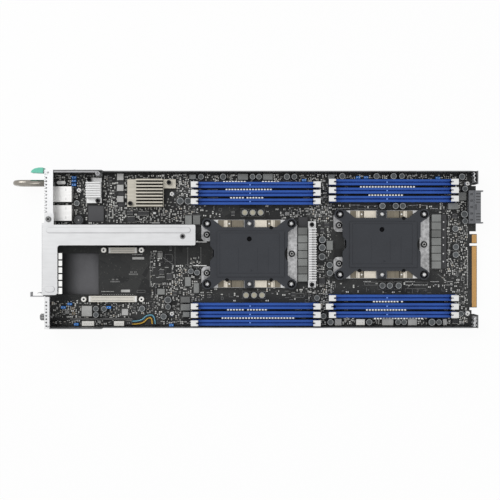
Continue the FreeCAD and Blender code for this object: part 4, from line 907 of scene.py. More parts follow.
def make_jack_details():
    """Shield tabs, seams, contact wires and lamp windows of the two network jacks."""
    fine = Shape("jack_details", [SHIELD, GREY_STEEL_AND_SHADE, GOLD, LAMP_GREEN])
    for low, high in islands("network_jacks"):
        x, y, _ = middle((low, high))
        rear, top = low[0], high[2]
        for side in SIDES:
            tab = y + side * TAB_SIDE
            fine.block(x + TAB_SHIFT, tab, top, *JACK_TAB, SHIELD)
            fine.block(x + SEAM_SHIFT, tab, top, *JACK_SEAM, GREY_STEEL_AND_SHADE)
            lamp = y + side * LAMP_SIDE
            fine.box((rear + LAMP_RUN[0], lamp - LAMP_HALF, top + LAMP_LEVELS[0]),
                     (rear + LAMP_RUN[1], lamp + LAMP_HALF, top + LAMP_LEVELS[1]), LAMP_GREEN)
        for k in range(JACK_WIRES):
            at = y + (k - (JACK_WIRES - 1) / 2) * JACK_WIRE_PITCH
            fine.block(rear + WIRE_BACK, at, low[2] + WIRE_RISE, *JACK_WIRE, GOLD)
    fine.build()


# Bands across each leaf spring, by their distance from the middle post: start, end, finish. The broad pad
# nearest the post is dark on one half of each socket and pale on the other.
SPRING_BANDS = [(19.5, 20.3, DARK), (20.3, 24.2, NICKEL), (24.2, 26.9, CREAM), (26.9, 27.2, DARK),
                (27.2, 28.2, CREAM)]
SPRING_PAD = (6.3, 19.5)
SPRING_LIFT = 0.9 * MM
BAND_RISE, BAND_INSET = mm(0.1, 0.3)
SPRING_RIVET = [mm(0.9, -0.3), mm(0.9, 0.02), mm(0.5, 0.08)]
RIVET_REACHES = mm(22.2, 31)
BOLSTER_WEDGE = [mm(34.9, 33.8), mm(40.0, 37.6), mm(34.9, 37.6)]
BOLSTER_SLIT = mm(1.5, 22, 0.1)
SLIT_REACH, WEDGE_HEIGHT = mm(40.2, 1.5)


def make_spring_bands():
    """Plated pads, grooves and rivets of the leaf springs, and the pale wedges beside their ends."""
    plate = Shape("spring_bands", [NICKEL, DARK, CREAM, BRIGHT, WHITE])
    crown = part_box("bolster_springs")[1][2] + BAND_RISE
    for x, y, foot, _, width, _ in solids("bolster_springs"):
        cpu = min(CPUS, key=lambda place: abs(place[0] - x))
        side = 1 if x > cpu[0] else -1
        pad = CREAM if (side > 0) == (cpu == CPUS[0]) else NICKEL
        leaf = foot + SPRING_LIFT
        for start, end, finish in [(*SPRING_PAD, pad)] + SPRING_BANDS:
            at = cpu[0] + side * (start + end) / 2 * MM
            plate.block(at, y, leaf, (end - start) * MM, width - BAND_INSET, crown - leaf, finish)
        for reach, level in zip(RIVET_REACHES, (crown, leaf)):
            plate.turned((cpu[0] + side * reach, y, level), SPRING_RIVET, BRIGHT, 14)
    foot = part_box("bolster_plates")[1][2]
    for x, y, _ in CPUS:
        for side_x, side_y in CORNERS:
            outline = [(x + side_x * a, y + side_y * b) for a, b in BOLSTER_WEDGE]
            if side_x * side_y < 0:
                outline.reverse()
            plate.prism(outline, foot, foot + WEDGE_HEIGHT, WHITE)
        plate.block(x - SLIT_REACH, y, foot, *BOLSTER_SLIT, DARK)
    plate.build()


SOCKET_RIM = 3 * MM
SOCKET_DEPTH = 1.3 * MM
SOCKET_WELL = mm(17, 24)
WELL_MARGIN, WELL_FLOOR, PIN_FIELD = mm(2, 0.1, 0.4)
SOCKET_CORNER = 4 * MM


def make_socket_frames():
    """Processor sockets: a moulded rim with corner blocks round a contact field with an open middle."""
    frames = Shape("socket_frames", [SOCKET, CONTACTS, DARK])
    well_x, well_y = SOCKET_WELL
    for low, high in islands("cpu_sockets"):
        (x0, y0, _), (x1, y1, top) = low, high
        x, y, _ = middle((low, high))
        floor = top - SOCKET_DEPTH
        frames.box(low, (x1, y1, floor))
        inner_y0, inner_y1 = y0 + SOCKET_RIM, y1 - SOCKET_RIM
        for side in (y0, inner_y1):
            frames.box((x0, side, floor), (x1, side + SOCKET_RIM, top))
        for side in (x0, x1 - SOCKET_RIM):
            frames.box((side, inner_y0, floor), (side + SOCKET_RIM, inner_y1, top))
        pins = floor + PIN_FIELD
        inner = [x0 + SOCKET_RIM, x - well_x / 2, x + well_x / 2, x1 - SOCKET_RIM]
        for start, end in (inner[:2], inner[2:]):
            frames.box((start, inner_y0, floor), (end, inner_y1, pins), CONTACTS)
        for start, end in ((inner_y0, y - well_y / 2), (y + well_y / 2, inner_y1)):
            frames.box((inner[1], start, floor), (inner[2], end, pins), CONTACTS)
        frames.block(x, y, floor, well_x - WELL_MARGIN, well_y - WELL_MARGIN, WELL_FLOOR, DARK)
        reach_x, reach_y = ((end - SOCKET_CORNER) / 2 - SOCKET_RIM for end in (x1 - x0, y1 - y0))
        for side_x, side_y in CORNERS:
            frames.block(x + side_x * reach_x, y + side_y * reach_y, pins, SOCKET_CORNER, SOCKET_CORNER,
                         top - pins)
    frames.build(replaces=["cpu_sockets"], bevel=0.15 * MM)


GUIDE_SIDE, GUIDE_HALF, GUIDE_RISE = mm(13.2, 0.45, 0.8)
GUIDE_RUN = mm(-9, 6)
GUIDE_KNOB = mm(2.2, 1.4)
GUIDE_KNOB_BACK, GUIDE_KNOB_SIDE, GUIDE_KNOB_RISE = mm(4.6, 0.5, 1)


def make_guide_clips():
    """Two slim white clips that run in to the first bolster's ears."""
    clips = Shape("guide_clips", [WHITE])
    low, high = islands("bolster_plates")[0]
    rear, top = low[0], high[2]
    for side in SIDES:
        y = middle((low, high))[1] + side * GUIDE_SIDE
        clips.box((rear + GUIDE_RUN[0], y - GUIDE_HALF, TOP),
                  (rear + GUIDE_RUN[1], y + GUIDE_HALF, top + GUIDE_RISE))
        height = top - TOP + GUIDE_KNOB_RISE
        clips.block(rear - GUIDE_KNOB_BACK, y + GUIDE_KNOB_SIDE, TOP, *GUIDE_KNOB, height)
    clips.build(bevel=0.15 * MM)


# A dust cover's details from its middle. The black ring of painted shade round each corner post and the round
# feet are (radius, height) pairs from the cover's rim, and a rib is its middle, length, width and height.
POST_SHADE_RING = [mm(2.8, 0), mm(4.4, 0), mm(4.4, 0.1), mm(2.8, 0.1), mm(2.8, 0)]
POST_SHADE_REACH = mm(46.6, 33.5)
COVER_RIM = 1.1 * MM
COVER_WELL = [mm(2.7, -1), mm(2.7, -0.9)]
WELL_PLACE = 16.5 * MM
ARROW_HEIGHT = 0.12 * MM
COVER_FOOT = [mm(2.0, -2.8), mm(2.0, -0.3), mm(1.6, 0)]
COVER_FEET = [mm(24.3, 29.0), mm(24.3, -29.0), mm(-24.7, -29.0)]
COVER_RIBS = [mm(at, 0, 0.5, 45, 0.12) for at in (-32.6, 33.4)]
COVER_RIBS += [mm(0.4, at, 66, 0.5, 0.12) for at in (-21.5, 23)]
COVER_RIBS += [mm(at, -6, 0.4, 26, 0.084) for at in (-12, 9, 21)]
COVER_ARROW = [mm(1.4, -20.2), mm(4.8, -18.6), mm(1.4, -17)]


def make_cover_details(cover, cpu):
    """Ribs, the round well, the corner mark and the black feet of a dust cover. They lift with it."""
    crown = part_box(cover)[1][2]
    rim = crown - COVER_RIM
    fine = Shape(f"{cover}_details", [COVER_LINE, DARK])
    x, y, _ = cpu
    for dx, dy, length, width, height in COVER_RIBS:
        fine.block(x + dx, y + dy, crown, length, width, height)
    fine.turned((x, y + WELL_PLACE, rim), COVER_WELL, DARK, 24)
    # A black ring of painted shade round each corner post, where the hole's clearance lies in shadow.
    for side_x, side_y in CORNERS:
        corner = (x + side_x * POST_SHADE_REACH[0], y + side_y * POST_SHADE_REACH[1], rim)
        fine.turned(corner, POST_SHADE_RING, DARK, 28)
    fine.prism([(x + dx, y + dy) for dx, dy in COVER_ARROW], crown, crown + ARROW_HEIGHT)
    for dx, dy in COVER_FEET:
        fine.turned((x + dx, y + dy, rim), COVER_FOOT, DARK)
    fine.build(body=cover)


class Floorplan:
    """What is taken on the board, kept in cells so that a free place is found quickly."""

    CELL = 8 * MM

    def __init__(self):
        self.cells = {}

    def reach(self, x0, y0, x1, y1):
        for i in range(math.floor(x0 / self.CELL), math.floor(x1 / self.CELL) + 1):
            for j in range(math.floor(y0 / self.CELL), math.floor(y1 / self.CELL) + 1):
                yield i, j

    def take(self, *spot):
        for cell in self.reach(*spot):
            self.cells.setdefault(cell, []).append(spot)

    def free(self, x0, y0, x1, y1):
        for cell in self.reach(x0, y0, x1, y1):
            for a, b, c, d in self.cells.get(cell, ()):
                if x0 < c and x1 > a and y0 < d and y1 > b:
                    return False
        return True


STANDING = ["capacitors", "chokes", "chips", "memory_sockets", "bolster_plates", "network_jacks",
            "pin_headers", "mezzanine_connectors", "sounder", "backplane_connector", "chipset_heatsink",
            "network_heatsink", "regulator_heatsink", "riser_slots", "standoffs", "fasteners"]
# What reaches into these levels above the board takes a place on it.
STANDING_LEVELS = mm(0.1, 4)
NOTCH = mm(-240, -51.5, -181, -3.5)
PARTS_END = 229 * MM
PARTS_MARGIN = 0.3 * MM
BOARD_MARGIN = 0.6 * MM


def plan_board():
    plan = Floorplan()
    lowest, highest = (TOP + level for level in STANDING_LEVELS)
    for node in STANDING:
        for low, high in islands(node):
            if high[2] > lowest and low[2] < highest:
                plan.take(low[0] - PARTS_MARGIN, low[1] - PARTS_MARGIN,
                          high[0] + PARTS_MARGIN, high[1] + PARTS_MARGIN)
    (x0, y0, _), (x1, y1, _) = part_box("wire_harness")
    plan.take(x0, y0, x1, y1)
    plan.take(*NOTCH)
    return plan


PLAN = plan_board()


def spot_at(x, y, length, width):
    """A place in plan as low x, low y, high x and high y."""
    return x - length / 2, y - width / 2, x + length / 2, y + width / 2


def on_board(x0, y0, x1, y1):
    inside_x = x0 > board_low[0] + BOARD_MARGIN and x1 < PARTS_END
    return inside_x and y0 > board_low[1] + BOARD_MARGIN and y1 < board_high[1] - BOARD_MARGIN


def claim(x, y, length, width):
    """Takes a place on the board for a part, and says whether it was free."""
    spot = spot_at(x, y, length, width)
    if not (PLAN.free(*spot) and on_board(*spot)):
        return False
    PLAN.take(*spot)
    return True


# Small parts that stand out, by pixel in the photograph. Sizes are millimetres.
JUMPERS = [(74.2, 177.6), (74.2, 181), (74.2, 184.9), (70, 303.9), (63.6, 307.3), (109, 307.3), (76.6, 324.2),
           (304, 180.4), (358, 177.6), (365.8, 177.6), (437.5, 178.1), (171.5, 325)]
JUMPER_SPACE = mm(5.2, 2.8)
JUMPER_CAP = mm(4.8, 2.5, 4.6)
JUMPER_SLIT = mm(1.4, 0.5, 0.1)
JUMPER_LIFT = 0.6 * MM
JUMPER_PIN = mm(0.6, 0.6, 5.5)
JUMPER_PIN_SIDE = 1.27 * MM


def add_jumpers(marked):
    """Blue jumper caps on two pins each."""
    for place in JUMPERS:
        x, y = at_pixel(*place)
        PLAN.take(*spot_at(x, y, *JUMPER_SPACE))
        marked.block(x, y, TOP + JUMPER_LIFT, *JUMPER_CAP, JUMPER)
        marked.block(x, y, TOP + JUMPER_LIFT + JUMPER_CAP[2], *JUMPER_SLIT, DARK)
        for side in SIDES:
            marked.block(x + side * JUMPER_PIN_SIDE, y, TOP, *JUMPER_PIN, TIN)


PIN_BLOCKS = [(104, 324, 16, 4.6), (430, 177.6, 18, 3.4), (447, 177.6, 8, 3.4)]
PIN_BLOCK_HEIGHT = 2.4 * MM
BLOCK_PIN = mm(0.6, 0.6, 3)
BLOCK_PITCH = 2


def add_pin_blocks(marked):
    """Black blocks with two rows of pins."""
    for column, row, length, width in PIN_BLOCKS:
        x, y = at_pixel(column, row)
        if not claim(x, y, length * MM, width * MM):
            continue
        marked.block(x, y, TOP, length * MM, width * MM, PIN_BLOCK_HEIGHT, BLACK)
        for k in range(int(length / BLOCK_PITCH)):
            at = x + ((k + 0.5) * BLOCK_PITCH - length / 2) * MM
            for side in SIDES:
                marked.block(at, y + side * width / 4 * MM, TOP + PIN_BLOCK_HEIGHT, *BLOCK_PIN, TIN)


FLAT_CHIPS = [(130, 212.6, 8, 4), (131, 219.3, 9.5, 7), (143.5, 213.2, 13, 5), (139.5, 217.8, 15, 6),
              (169, 276.5, 7, 7), (161.5, 272, 6.5, 6), (169.5, 205.5, 7, 6), (322, 281, 8, 8),
              (329, 294, 7, 5), (331, 228, 6, 8), (324, 268, 5, 9), (455, 216, 7, 5), (460, 240, 8, 8),
              (330, 205, 6, 6), (170.5, 247.5, 4, 7), (155.5, 291, 3, 8), (163, 174, 9, 4),
              (455.5, 321, 8, 6)]
CHIP_INSET, CHIP_HEIGHT, CHIP_LIFT = 1.2, 1.2, 0.1
CHIP_LEG = mm(0.4, 0.7, 0.5)
CHIP_LEG_PITCH, CHIP_LEG_START, CHIP_LEG_INSET = 0.9, 1.1, 0.35


def add_flat_chips(marked):
    """Flat packages with a row of legs on two sides."""
    for column, row, length, width in FLAT_CHIPS:
        x, y = at_pixel(column, row)
        if not claim(x, y, length * MM, width * MM):
            continue
        body = mm(length - CHIP_INSET, width - CHIP_INSET, CHIP_HEIGHT)
        marked.block(x, y, TOP + CHIP_LIFT * MM, *body, CHIP)
        for k in range(int(length / CHIP_LEG_PITCH) - 1):
            at = x + (k * CHIP_LEG_PITCH - length / 2 + CHIP_LEG_START) * MM
            for side in SIDES:
                marked.block(at, y + side * (width / 2 - CHIP_LEG_INSET) * MM, TOP, *CHIP_LEG, TIN)


PALE_PARTS = [(162.8, 175.5), (154.5, 213), (171.8, 323.5), (60, 168.5)]
PALE_SIZE = mm(3, 2.2, 1.2)
OVAL_CAN = (61.3, 182.6)
OVAL_SPACE = mm(10, 4)
OVAL_POINTS = 28
OVAL_HALF, OVAL_RADIUS, OVAL_HEIGHT = mm(3, 1.9, 3.2)
EDGE_STRIP = ((51, 319), (135, 319))
STRIP_WIDTH, STRIP_HEIGHT = mm(2.6, 1.6)
HIGHLIGHT_SHIFT, HIGHLIGHT_SHORTER = mm(9, 24)
STRIP_HIGHLIGHT = mm(0.7, 0.3)
SINK_SIDE_PARTS = [(168.2, 199), (170.6, 202.3), (167.5, 201.8), (169.1, 205.4), (174.9, 199.4),
                   (174.9, 202.5), (165.3, 205.2), (172.4, 206.6)]
SINK_SIDE_SIZES = [mm(1.2, 2.2, 0.8), mm(2.2, 1.2, 0.8)]
TAN_PAIRS = [(72.6, 308.6), (73.5, 313.3)]
TAN_SIZE = mm(1.3, 3.4, 1.4)
TAN_SIDE = 1.1 * MM
SILVER_PART = (67, 312.2)
SILVER_SIZE = mm(5, 3.6, 1.6)
REGULATOR_DOTS = [(443.6, 222), (443.6, 229.5), (443.4, 237.5), (443.4, 245), (443.4, 253.5), (443.4, 261.5)]
REGULATOR_DOT = mm(1.4, 1.4, 0.5)
REGULATOR_PINS = [(444, 211), (444, 272)]
REGULATOR_PIN = mm(4.4, 4.4, 2.2)
# A stretch of the board that keeps its print and has no scattered parts: two opposite corners.
QUIET_AREA = ((151.5, 266), (171, 282.5))


def add_oval_can(marked):
    x, y = at_pixel(*OVAL_CAN)
    PLAN.take(*spot_at(x, y, *OVAL_SPACE))
    oval = []
    for i in range(OVAL_POINTS):
        turn = 2 * math.pi * (i + 0.5) / OVAL_POINTS
        end = math.copysign(OVAL_HALF, math.cos(turn))
        oval.append((x + end + OVAL_RADIUS * math.cos(turn), y + OVAL_RADIUS * math.sin(turn)))
    marked.prism(oval, TOP, TOP + OVAL_HEIGHT, SHIELD)


def add_edge_strip(marked):
    """The low dark strip along the near edge, with a grey line of painted highlight along its top."""
    (start, y), (end, _) = (at_pixel(*place) for place in EDGE_STRIP)
    x = (start + end) / 2
    marked.block(x, y, TOP, end - start, STRIP_WIDTH, STRIP_HEIGHT, BLACK)
    marked.block(x + HIGHLIGHT_SHIFT, y, TOP + STRIP_HEIGHT, end - start - HIGHLIGHT_SHORTER, *STRIP_HIGHLIGHT, GREY)


def make_marked_parts():
    """The parts that stand out on the board, each at its own place."""
    marked = Shape("jumpers_and_packages", [JUMPER, TIN, WHITE, SHIELD, DARK, CHIP, BLACK, TAN, GREY])
    add_jumpers(marked)
    add_pin_blocks(marked)
    add_flat_chips(marked)
    for place in PALE_PARTS:
        x, y = at_pixel(*place)
        if claim(x, y, *PALE_SIZE[:2]):
            marked.block(x, y, TOP, *PALE_SIZE, WHITE)
    add_oval_can(marked)
    add_edge_strip(marked)
    for k, place in enumerate(SINK_SIDE_PARTS):
        marked.block(*at_pixel(*place), TOP, *SINK_SIDE_SIZES[k % 2], GREY)
    for place in TAN_PAIRS:
        x, y = at_pixel(*place)
        for side in SIDES:
            marked.block(x + side * TAN_SIDE, y, TOP, *TAN_SIZE, TAN)
    marked.block(*at_pixel(*SILVER_PART), TOP, *SILVER_SIZE, GREY)
    (x0, y1), (x1, y0) = (at_pixel(*place) for place in QUIET_AREA)
    PLAN.take(x0, y0, x1, y1)
    chip_top = min(high[2] for _, high in islands("chips"))
    for place in REGULATOR_DOTS:
        marked.block(*at_pixel(*place), chip_top, *REGULATOR_DOT, WHITE)
    for place in REGULATOR_PINS:
        marked.block(*at_pixel(*place), TOP, *REGULATOR_PIN, BLACK)
    marked.build(bevel=0.2 * MM)


# Where small parts crowd: low and high corners in millimetres, parts per square centimetre.
CROWDS = [
    ((-234, 26), (-76, 85), 30), ((-234, -85), (-76, -58), 26), ((-125, -58), (-76, -18), 30),
    ((-125, -18), (-112, -2), 12), ((49, -60), (80, 50), 17), ((196, -26), (229, 80), 28),
    ((200, -46), (229, -26), 6), ((212, -85), (229, -46), 30), ((-80, 76), (229, 85), 40),
    ((62, -85), (229, -76), 44), ((-80, 27), (-66, 50), 18), ((-80, -58), (-66, -8), 18),
    ((62, 38), (78, 85), 20), ((62, -85), (78, -45), 20), ((20, 33), (60, 46), 10),
    ((-66, 36), (200, 50), 1.5), ((-66, -58), (200, -38), 1.5),
]
SMALL_SIZES = [mm(1.6, 0.8, 0.6), mm(1.6, 0.9, 0.8), mm(2.0, 1.25, 0.9), mm(2.6, 1.6, 1.0), mm(3.2, 1.6, 1.2)]
PACKAGE_SIZES = [mm(3.6, 3.0, 1.1), mm(4.8, 4.4, 0.9), mm(3.0, 2.6, 1.0), mm(5.4, 3.8, 1.3),
                 mm(6.2, 5.0, 1.0)]
PACKAGE_SHARE = 0.07
PART_SPACE = 0.35 * MM
CAP_SHARE, BODY_RISE = 0.24, 0.94
PACKAGE_LIFT, PACKAGE_LEG_PITCH, PACKAGE_LEG = mm(0.1, 1.1, 0.45)
BODY_SHADES = [TAN, GREY, GREY, GREY, GREY, CHIP, PALE, PALE]


def crowd_places(most):
    """Random places in each crowded stretch, with no more than so many per square centimetre."""
    for (x0, y0), (x1, y1), density in CROWDS:
        for _ in range(int((x1 - x0) * (y1 - y0) / 100 * min(density, most))):
            yield mm(rng.uniform(x0, x1), rng.uniform(y0, y1))


def chip_part(parts, x, y, length, width, height, upright, shade):
    """A two-ended chip part: a body between two tinned ends."""
    cap = length * CAP_SHARE
    steps = [(0, length - 2 * cap, height * BODY_RISE, shade)]
    steps += [(side * (length - cap) / 2, cap, height, TIN) for side in SIDES]
    for shift, span, rise, finish in steps:
        if upright:
            parts.block(x, y + shift, TOP, width, span, rise, finish)
        else:
            parts.block(x + shift, y, TOP, span, width, rise, finish)


def leaded_package(parts, x, y, length, width, height, shade):
    """A small dark package with a row of tinned legs on two sides."""
    parts.block(x, y, TOP + PACKAGE_LIFT, length * 0.9, width * 0.74, height, shade)
    legs = max(2, int(length / PACKAGE_LEG_PITCH))
    for k in range(legs):
        at = x + (k - (legs - 1) / 2) * length * 0.86 / legs
        for side in SIDES:
            parts.block(at, y + side * width * 0.44, TOP, PACKAGE_LEG, width * 0.12, height * 0.4, TIN)


def make_small_parts():
    """Chip parts and small packages, dense where the board is crowded. The scatter is seeded."""
    parts = Shape("small_parts", [TIN, TAN, GREY, CHIP, PALE])
    for x, y in crowd_places(most=math.inf):
        package = rng.random() < PACKAGE_SHARE
        length, width, height = rng.choice(PACKAGE_SIZES if package else SMALL_SIZES)
        upright = rng.random() < 0.5
        shade = rng.choice(BODY_SHADES)
        plan_length, plan_width = (width, length) if upright and not package else (length, width)
        if not claim(x, y, plan_length + PART_SPACE, plan_width + PART_SPACE):
            continue
        if package:
            leaded_package(parts, x, y, length, width, height, GREY if shade == PALE else CHIP)
        else:
            chip_part(parts, x, y, length, width, height, upright, shade)
    parts.build()


# Printed marks that stand out: pixels in the photograph, sizes in millimetres.
BLANK_PATCHES = [(138, 258.3, 13, 2.6), (125.3, 291, 10, 2.8), (155.6, 223.2, 9, 2)]
FRAMED = ("chips", "pin_headers", "chokes", "regulator_heatsink", "capacitors")
FRAME_SPACE = 1.3 * MM
PRINT_FRAMES = [(371.5, 283.8, 15, 3.2), (416.6, 283.6, 25, 3.2), (415.8, 290.2, 23, 3.4),
                (420.5, 177.2, 22, 3.2), (161.5, 275, 14, 12), (168.5, 258, 8, 8), (368, 207, 22, 3.6),
                (300, 295.5, 9, 4.4), (120.5, 249.6, 8, 4), (325, 281.4, 9, 9), (455, 321.5, 11, 8),
                (172, 215.6, 18, 5), (140.9, 291.5, 9, 2.6)]
PRINT_RUNS = [((150, 256), (150, 287)), ((152.3, 266), (152.3, 272)), ((152, 284), (170, 284)),
              ((172, 263), (172, 284)), ((162.3, 257.1), (174, 265.6)), ((150, 256), (154.5, 250)),
              ((307, 216), (334, 216)), ((308, 213.4), (330, 213.4)), ((307, 210.6), (326, 210.6)),
              ((438, 274), (447, 281)), ((449, 214), (449, 270)), ((107, 203), (107, 222)),
              ((109, 205), (109, 221))]
# Rows of small plain dashes: first and last column, and row.
PRINT_ROWS = [(408.5, 432, 205.3), (352, 362, 205), (331.5, 351.5, 208.3), (431, 440, 208.5),
              (413, 441, 173.8), (101.5, 115.5, 291.5), (132.5, 144, 254.6), (431, 441, 281.7),
              (433, 440, 284.8), (446, 454.5, 281.7), (446, 454.5, 285), (364, 372.5, 281.6),
              (405.5, 416, 281.6), (405, 429, 285)]
DASH_STEP = 1.3
DASH_LENGTHS = mm(0.7, 1, 1.3)
DASH_WIDTH = 0.7 * MM
PAD_FIELDS = [(133.2, 273), (114.8, 280.4)]
PAD_PITCH = 1.5 * MM
LOWER_PAD = mm(0.9, 1.6, 0.05)
UPPER_PAD = mm(0.9, 1.4, 0.05)
PAD_ROWS = mm(-1.4, 1)
BARE_MARKS = [(153.5, 267.5, 4, 0.5), (152.5, 269, 0.5, 3), (153.5, 275.3, 3, 0.5), (168.5, 274.8, 3, 0.5),
              (160.7, 269, 1, 1), (161.4, 270.6, 6, 0.6), (161.4, 277, 7, 0.6), (157.3, 277.5, 3, 0.5),
              (166.5, 267.4, 4, 0.5)]
# Evenly spaced marks: the first one's pixel, the pixels between two of them and how many.
CARD_DASHES = (102.5, 294.6, 2.3, 14)
CARD_DASH = mm(0.9, 0.6)
EDGE_TICKS = (467.9, 250, 1.5, 26)
EDGE_TICK = mm(0.9, 0.9, 0.06)
GUIDE_LINES = [(174.9, 256.5), (187.7, 256.5), (200.8, 256.5)]
GUIDE_LINE = mm(0.4, 21, 0.05)
INK_HEIGHT = 0.05 * MM
LINE_WIDTH = 0.3 * MM
RUN_HALF = 0.25
SCATTER_DENSITY = 7
FRAME_BELOW, UPRIGHT_BELOW = 0.15, 0.5
STROKE_LENGTHS = mm(1.2, 2, 3, 4.5)
STROKE_WIDTHS = mm(0.35, 0.6)
FRAME_WIDTHS = mm(2, 3, 4)
FRAME_LONGER = 1 * MM


def stroke(ink, x, y, length, width, finish=INK):
    """A printed bar, drawn only where nothing stands."""
    spot = spot_at(x, y, length, width)
    if on_board(*spot) and PLAN.free(*spot):
        ink.block(x, y, TOP, length, width, INK_HEIGHT, finish)


def outline(ink, x, y, length, width, finish):
    """A printed rectangle, drawn only where nothing stands."""
    for side in SIDES:
        stroke(ink, x, y + side * width / 2, length, LINE_WIDTH, finish)
        stroke(ink, x + side * length / 2, y, LINE_WIDTH, width, finish)


def run(ink, first, last):
    """A printed line between two places on the board."""
    one, two = Vector(first), Vector(last)
    side = (two - one).normalized() * RUN_HALF * MM
    across = Vector((-side.y, side.x))
    corners = [one - across, two - across, two + across, one + across]
    ink.prism([tuple(corner) for corner in corners], TOP, TOP + INK_HEIGHT, INK_DIM)


def scatter_print(ink):
    """Seeded short strokes and small frames where parts crowd."""
    for x, y in crowd_places(SCATTER_DENSITY):
        kind = rng.random()
        length = rng.choice(STROKE_LENGTHS)
        shade = rng.choice([INK, INK_DIM, INK_DIM])
        if kind < FRAME_BELOW:
            outline(ink, x, y, length + FRAME_LONGER, rng.choice(FRAME_WIDTHS), shade)
        elif kind < UPRIGHT_BELOW:
            stroke(ink, x, y, STROKE_WIDTHS[0], length, shade)
        else:
            stroke(ink, x, y, length, rng.choice(STROKE_WIDTHS), shade)


def print_pads(ink):
    """Two fields of bare pads, seven below and four above."""
    for place in PAD_FIELDS:
        x, y = at_pixel(*place)
        for k in range(-3, 4):
            at = x + k * PAD_PITCH
            ink.block(at, y + PAD_ROWS[0], TOP, *LOWER_PAD, INK_DIM)
            if k in (-2, -1, 1, 2):
                ink.block(at, y + PAD_ROWS[1], TOP, *UPPER_PAD, INK_DIM)


def print_rows(ink):
    """Rows of dashes on the board, and the ticks beside the gold edge."""
    for first, last, row in PRINT_ROWS:
        for k in range(int((last - first) / DASH_STEP)):
            stroke(ink, *at_pixel(first + DASH_STEP * k, row), DASH_LENGTHS[k % 3], DASH_WIDTH)
    column, row, step, count = CARD_DASHES
    for k in range(count):
        stroke(ink, *at_pixel(column + step * k, row), *CARD_DASH)
    column, row, step, count = EDGE_TICKS
    for k in range(count):
        ink.block(*at_pixel(column, row + step * k), TOP, *EDGE_TICK, INK)


def make_print():
    """Plain printed marks: frames round parts, strokes, runs, blank patches and three long guide lines."""
    ink = Shape("board_print", [INK, INK_DIM])
    for column, row, length, width in BLANK_PATCHES + BARE_MARKS:
        ink.block(*at_pixel(column, row), TOP, length * MM, width * MM, INK_HEIGHT, INK)
    for node in FRAMED:
        for x, y, _, length, width, _ in solids(node):
            outline(ink, x, y, length + FRAME_SPACE, width + FRAME_SPACE, INK_DIM)
    scatter_print(ink)
    for column, row, length, width in PRINT_FRAMES:
        outline(ink, *at_pixel(column, row), length * MM, width * MM, INK_DIM)
    for first, last in PRINT_RUNS:
        run(ink, at_pixel(*first), at_pixel(*last))
    print_pads(ink)
    print_rows(ink)
    for place in GUIDE_LINES:
        ink.block(*at_pixel(*place), TOP, *GUIDE_LINE, INK_DIM)
    ink.build()


SINK_BASE = 2.5 * MM
# How far in from each side of the chipset sink its plate of painted shade between the fins lies, and the
# block in the network sink.
SINK_REAR, SINK_FRONT, SINK_NEAR, SINK_FAR = mm(9.8, 14, 1, 0.4)
FIN_SHADE_THICKNESS = 0.1 * MM
CORE_INSET, CORE_START, CORE_END, CORE_DROP = mm(0.2, 6.2, 22.7, 2.6)
SPINE_LINES = 21
SPINE_LENGTH, SPINE_START = 56.6, 8.4
SPINE_LINE = mm(3, 1.1, 0.06)
SPINE_IN = 1.9 * MM
LID_INSET, LID_HEIGHT, LID_WIDEST = mm(1.4, 0.2, 20)


def make_sink_details():
    """Painted shade on the floor between the chipset sink's fins, the network sink's floor between its fins,
    lines across the regulator's spine and the chip lid.
    """
    parts = Shape("sink_details", [FIN_SHADE, ALLOY, GREY_STEEL_AND_SHADE, LID])
    low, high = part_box("chipset_heatsink")
    base = low[2] + SINK_BASE
    parts.box((low[0] + SINK_REAR, low[1] + SINK_NEAR, base),
              (high[0] - SINK_FRONT, high[1] - SINK_FAR, base + FIN_SHADE_THICKNESS), FIN_SHADE)
    low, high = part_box("network_heatsink")
    parts.box((low[0] + CORE_INSET, low[1] + CORE_START, low[2] + SINK_BASE),
              (high[0] - CORE_INSET, low[1] + CORE_END, high[2] - CORE_DROP), ALLOY)
    low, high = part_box("regulator_heatsink")
    for k in range(SPINE_LINES):
        y = low[1] + (SPINE_START + SPINE_LENGTH / SPINE_LINES * (k + 0.5)) * MM
        parts.block(low[0] + SPINE_IN, y, high[2], *SPINE_LINE, GREY_STEEL_AND_SHADE)
    lid = max(islands("chips"), key=lambda box: spans(box)[0] if spans(box)[1] < LID_WIDEST else 0)
    x, y, _ = middle(lid)
    length, width, _ = spans(lid)
    parts.block(x, y, lid[1][2], length - LID_INSET, width - LID_INSET, LID_HEIGHT, LID)
    parts.build()


GAP_SHADE_RUN = mm(5.2, 0.3)
GAP_SHADE_LEVELS = mm(2.4, 1.5)
GAP_SHADE_INSET = 0.4 * MM


def make_strip_gap_shade():
    """A dark plate of painted shade behind the contact fingers, seen through the gaps between them."""
    low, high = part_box("contact_strip")
    gap_shade = Shape("strip_gap_shade", [DARK])
    gap_shade.box((high[0] - GAP_SHADE_RUN[0], low[1] + GAP_SHADE_INSET, low[2] - GAP_SHADE_LEVELS[0]),
                (high[0] - GAP_SHADE_RUN[1], high[1] - GAP_SHADE_INSET, low[2] - GAP_SHADE_LEVELS[1]))
    gap_shade.build(bevel=0.1 * MM)


# Gaps between the contact fingers, in millimetres, and the bowed section of one finger: how far each point
# lies from the free end and how high above the strip's top.
FINGER_GAPS = [-42.3 + 7.5 * k for k in range(5)]
FINGER_GAP = 1.5
FINGER_BOW = [mm(6.2, 0), mm(5, 0.35), mm(3.6, 0.4), mm(2.2, 0.05), mm(1, -0.5), mm(0, -1.1)]
FINGER_SHEET, FINGER_LAP = mm(0.3, 0.1)


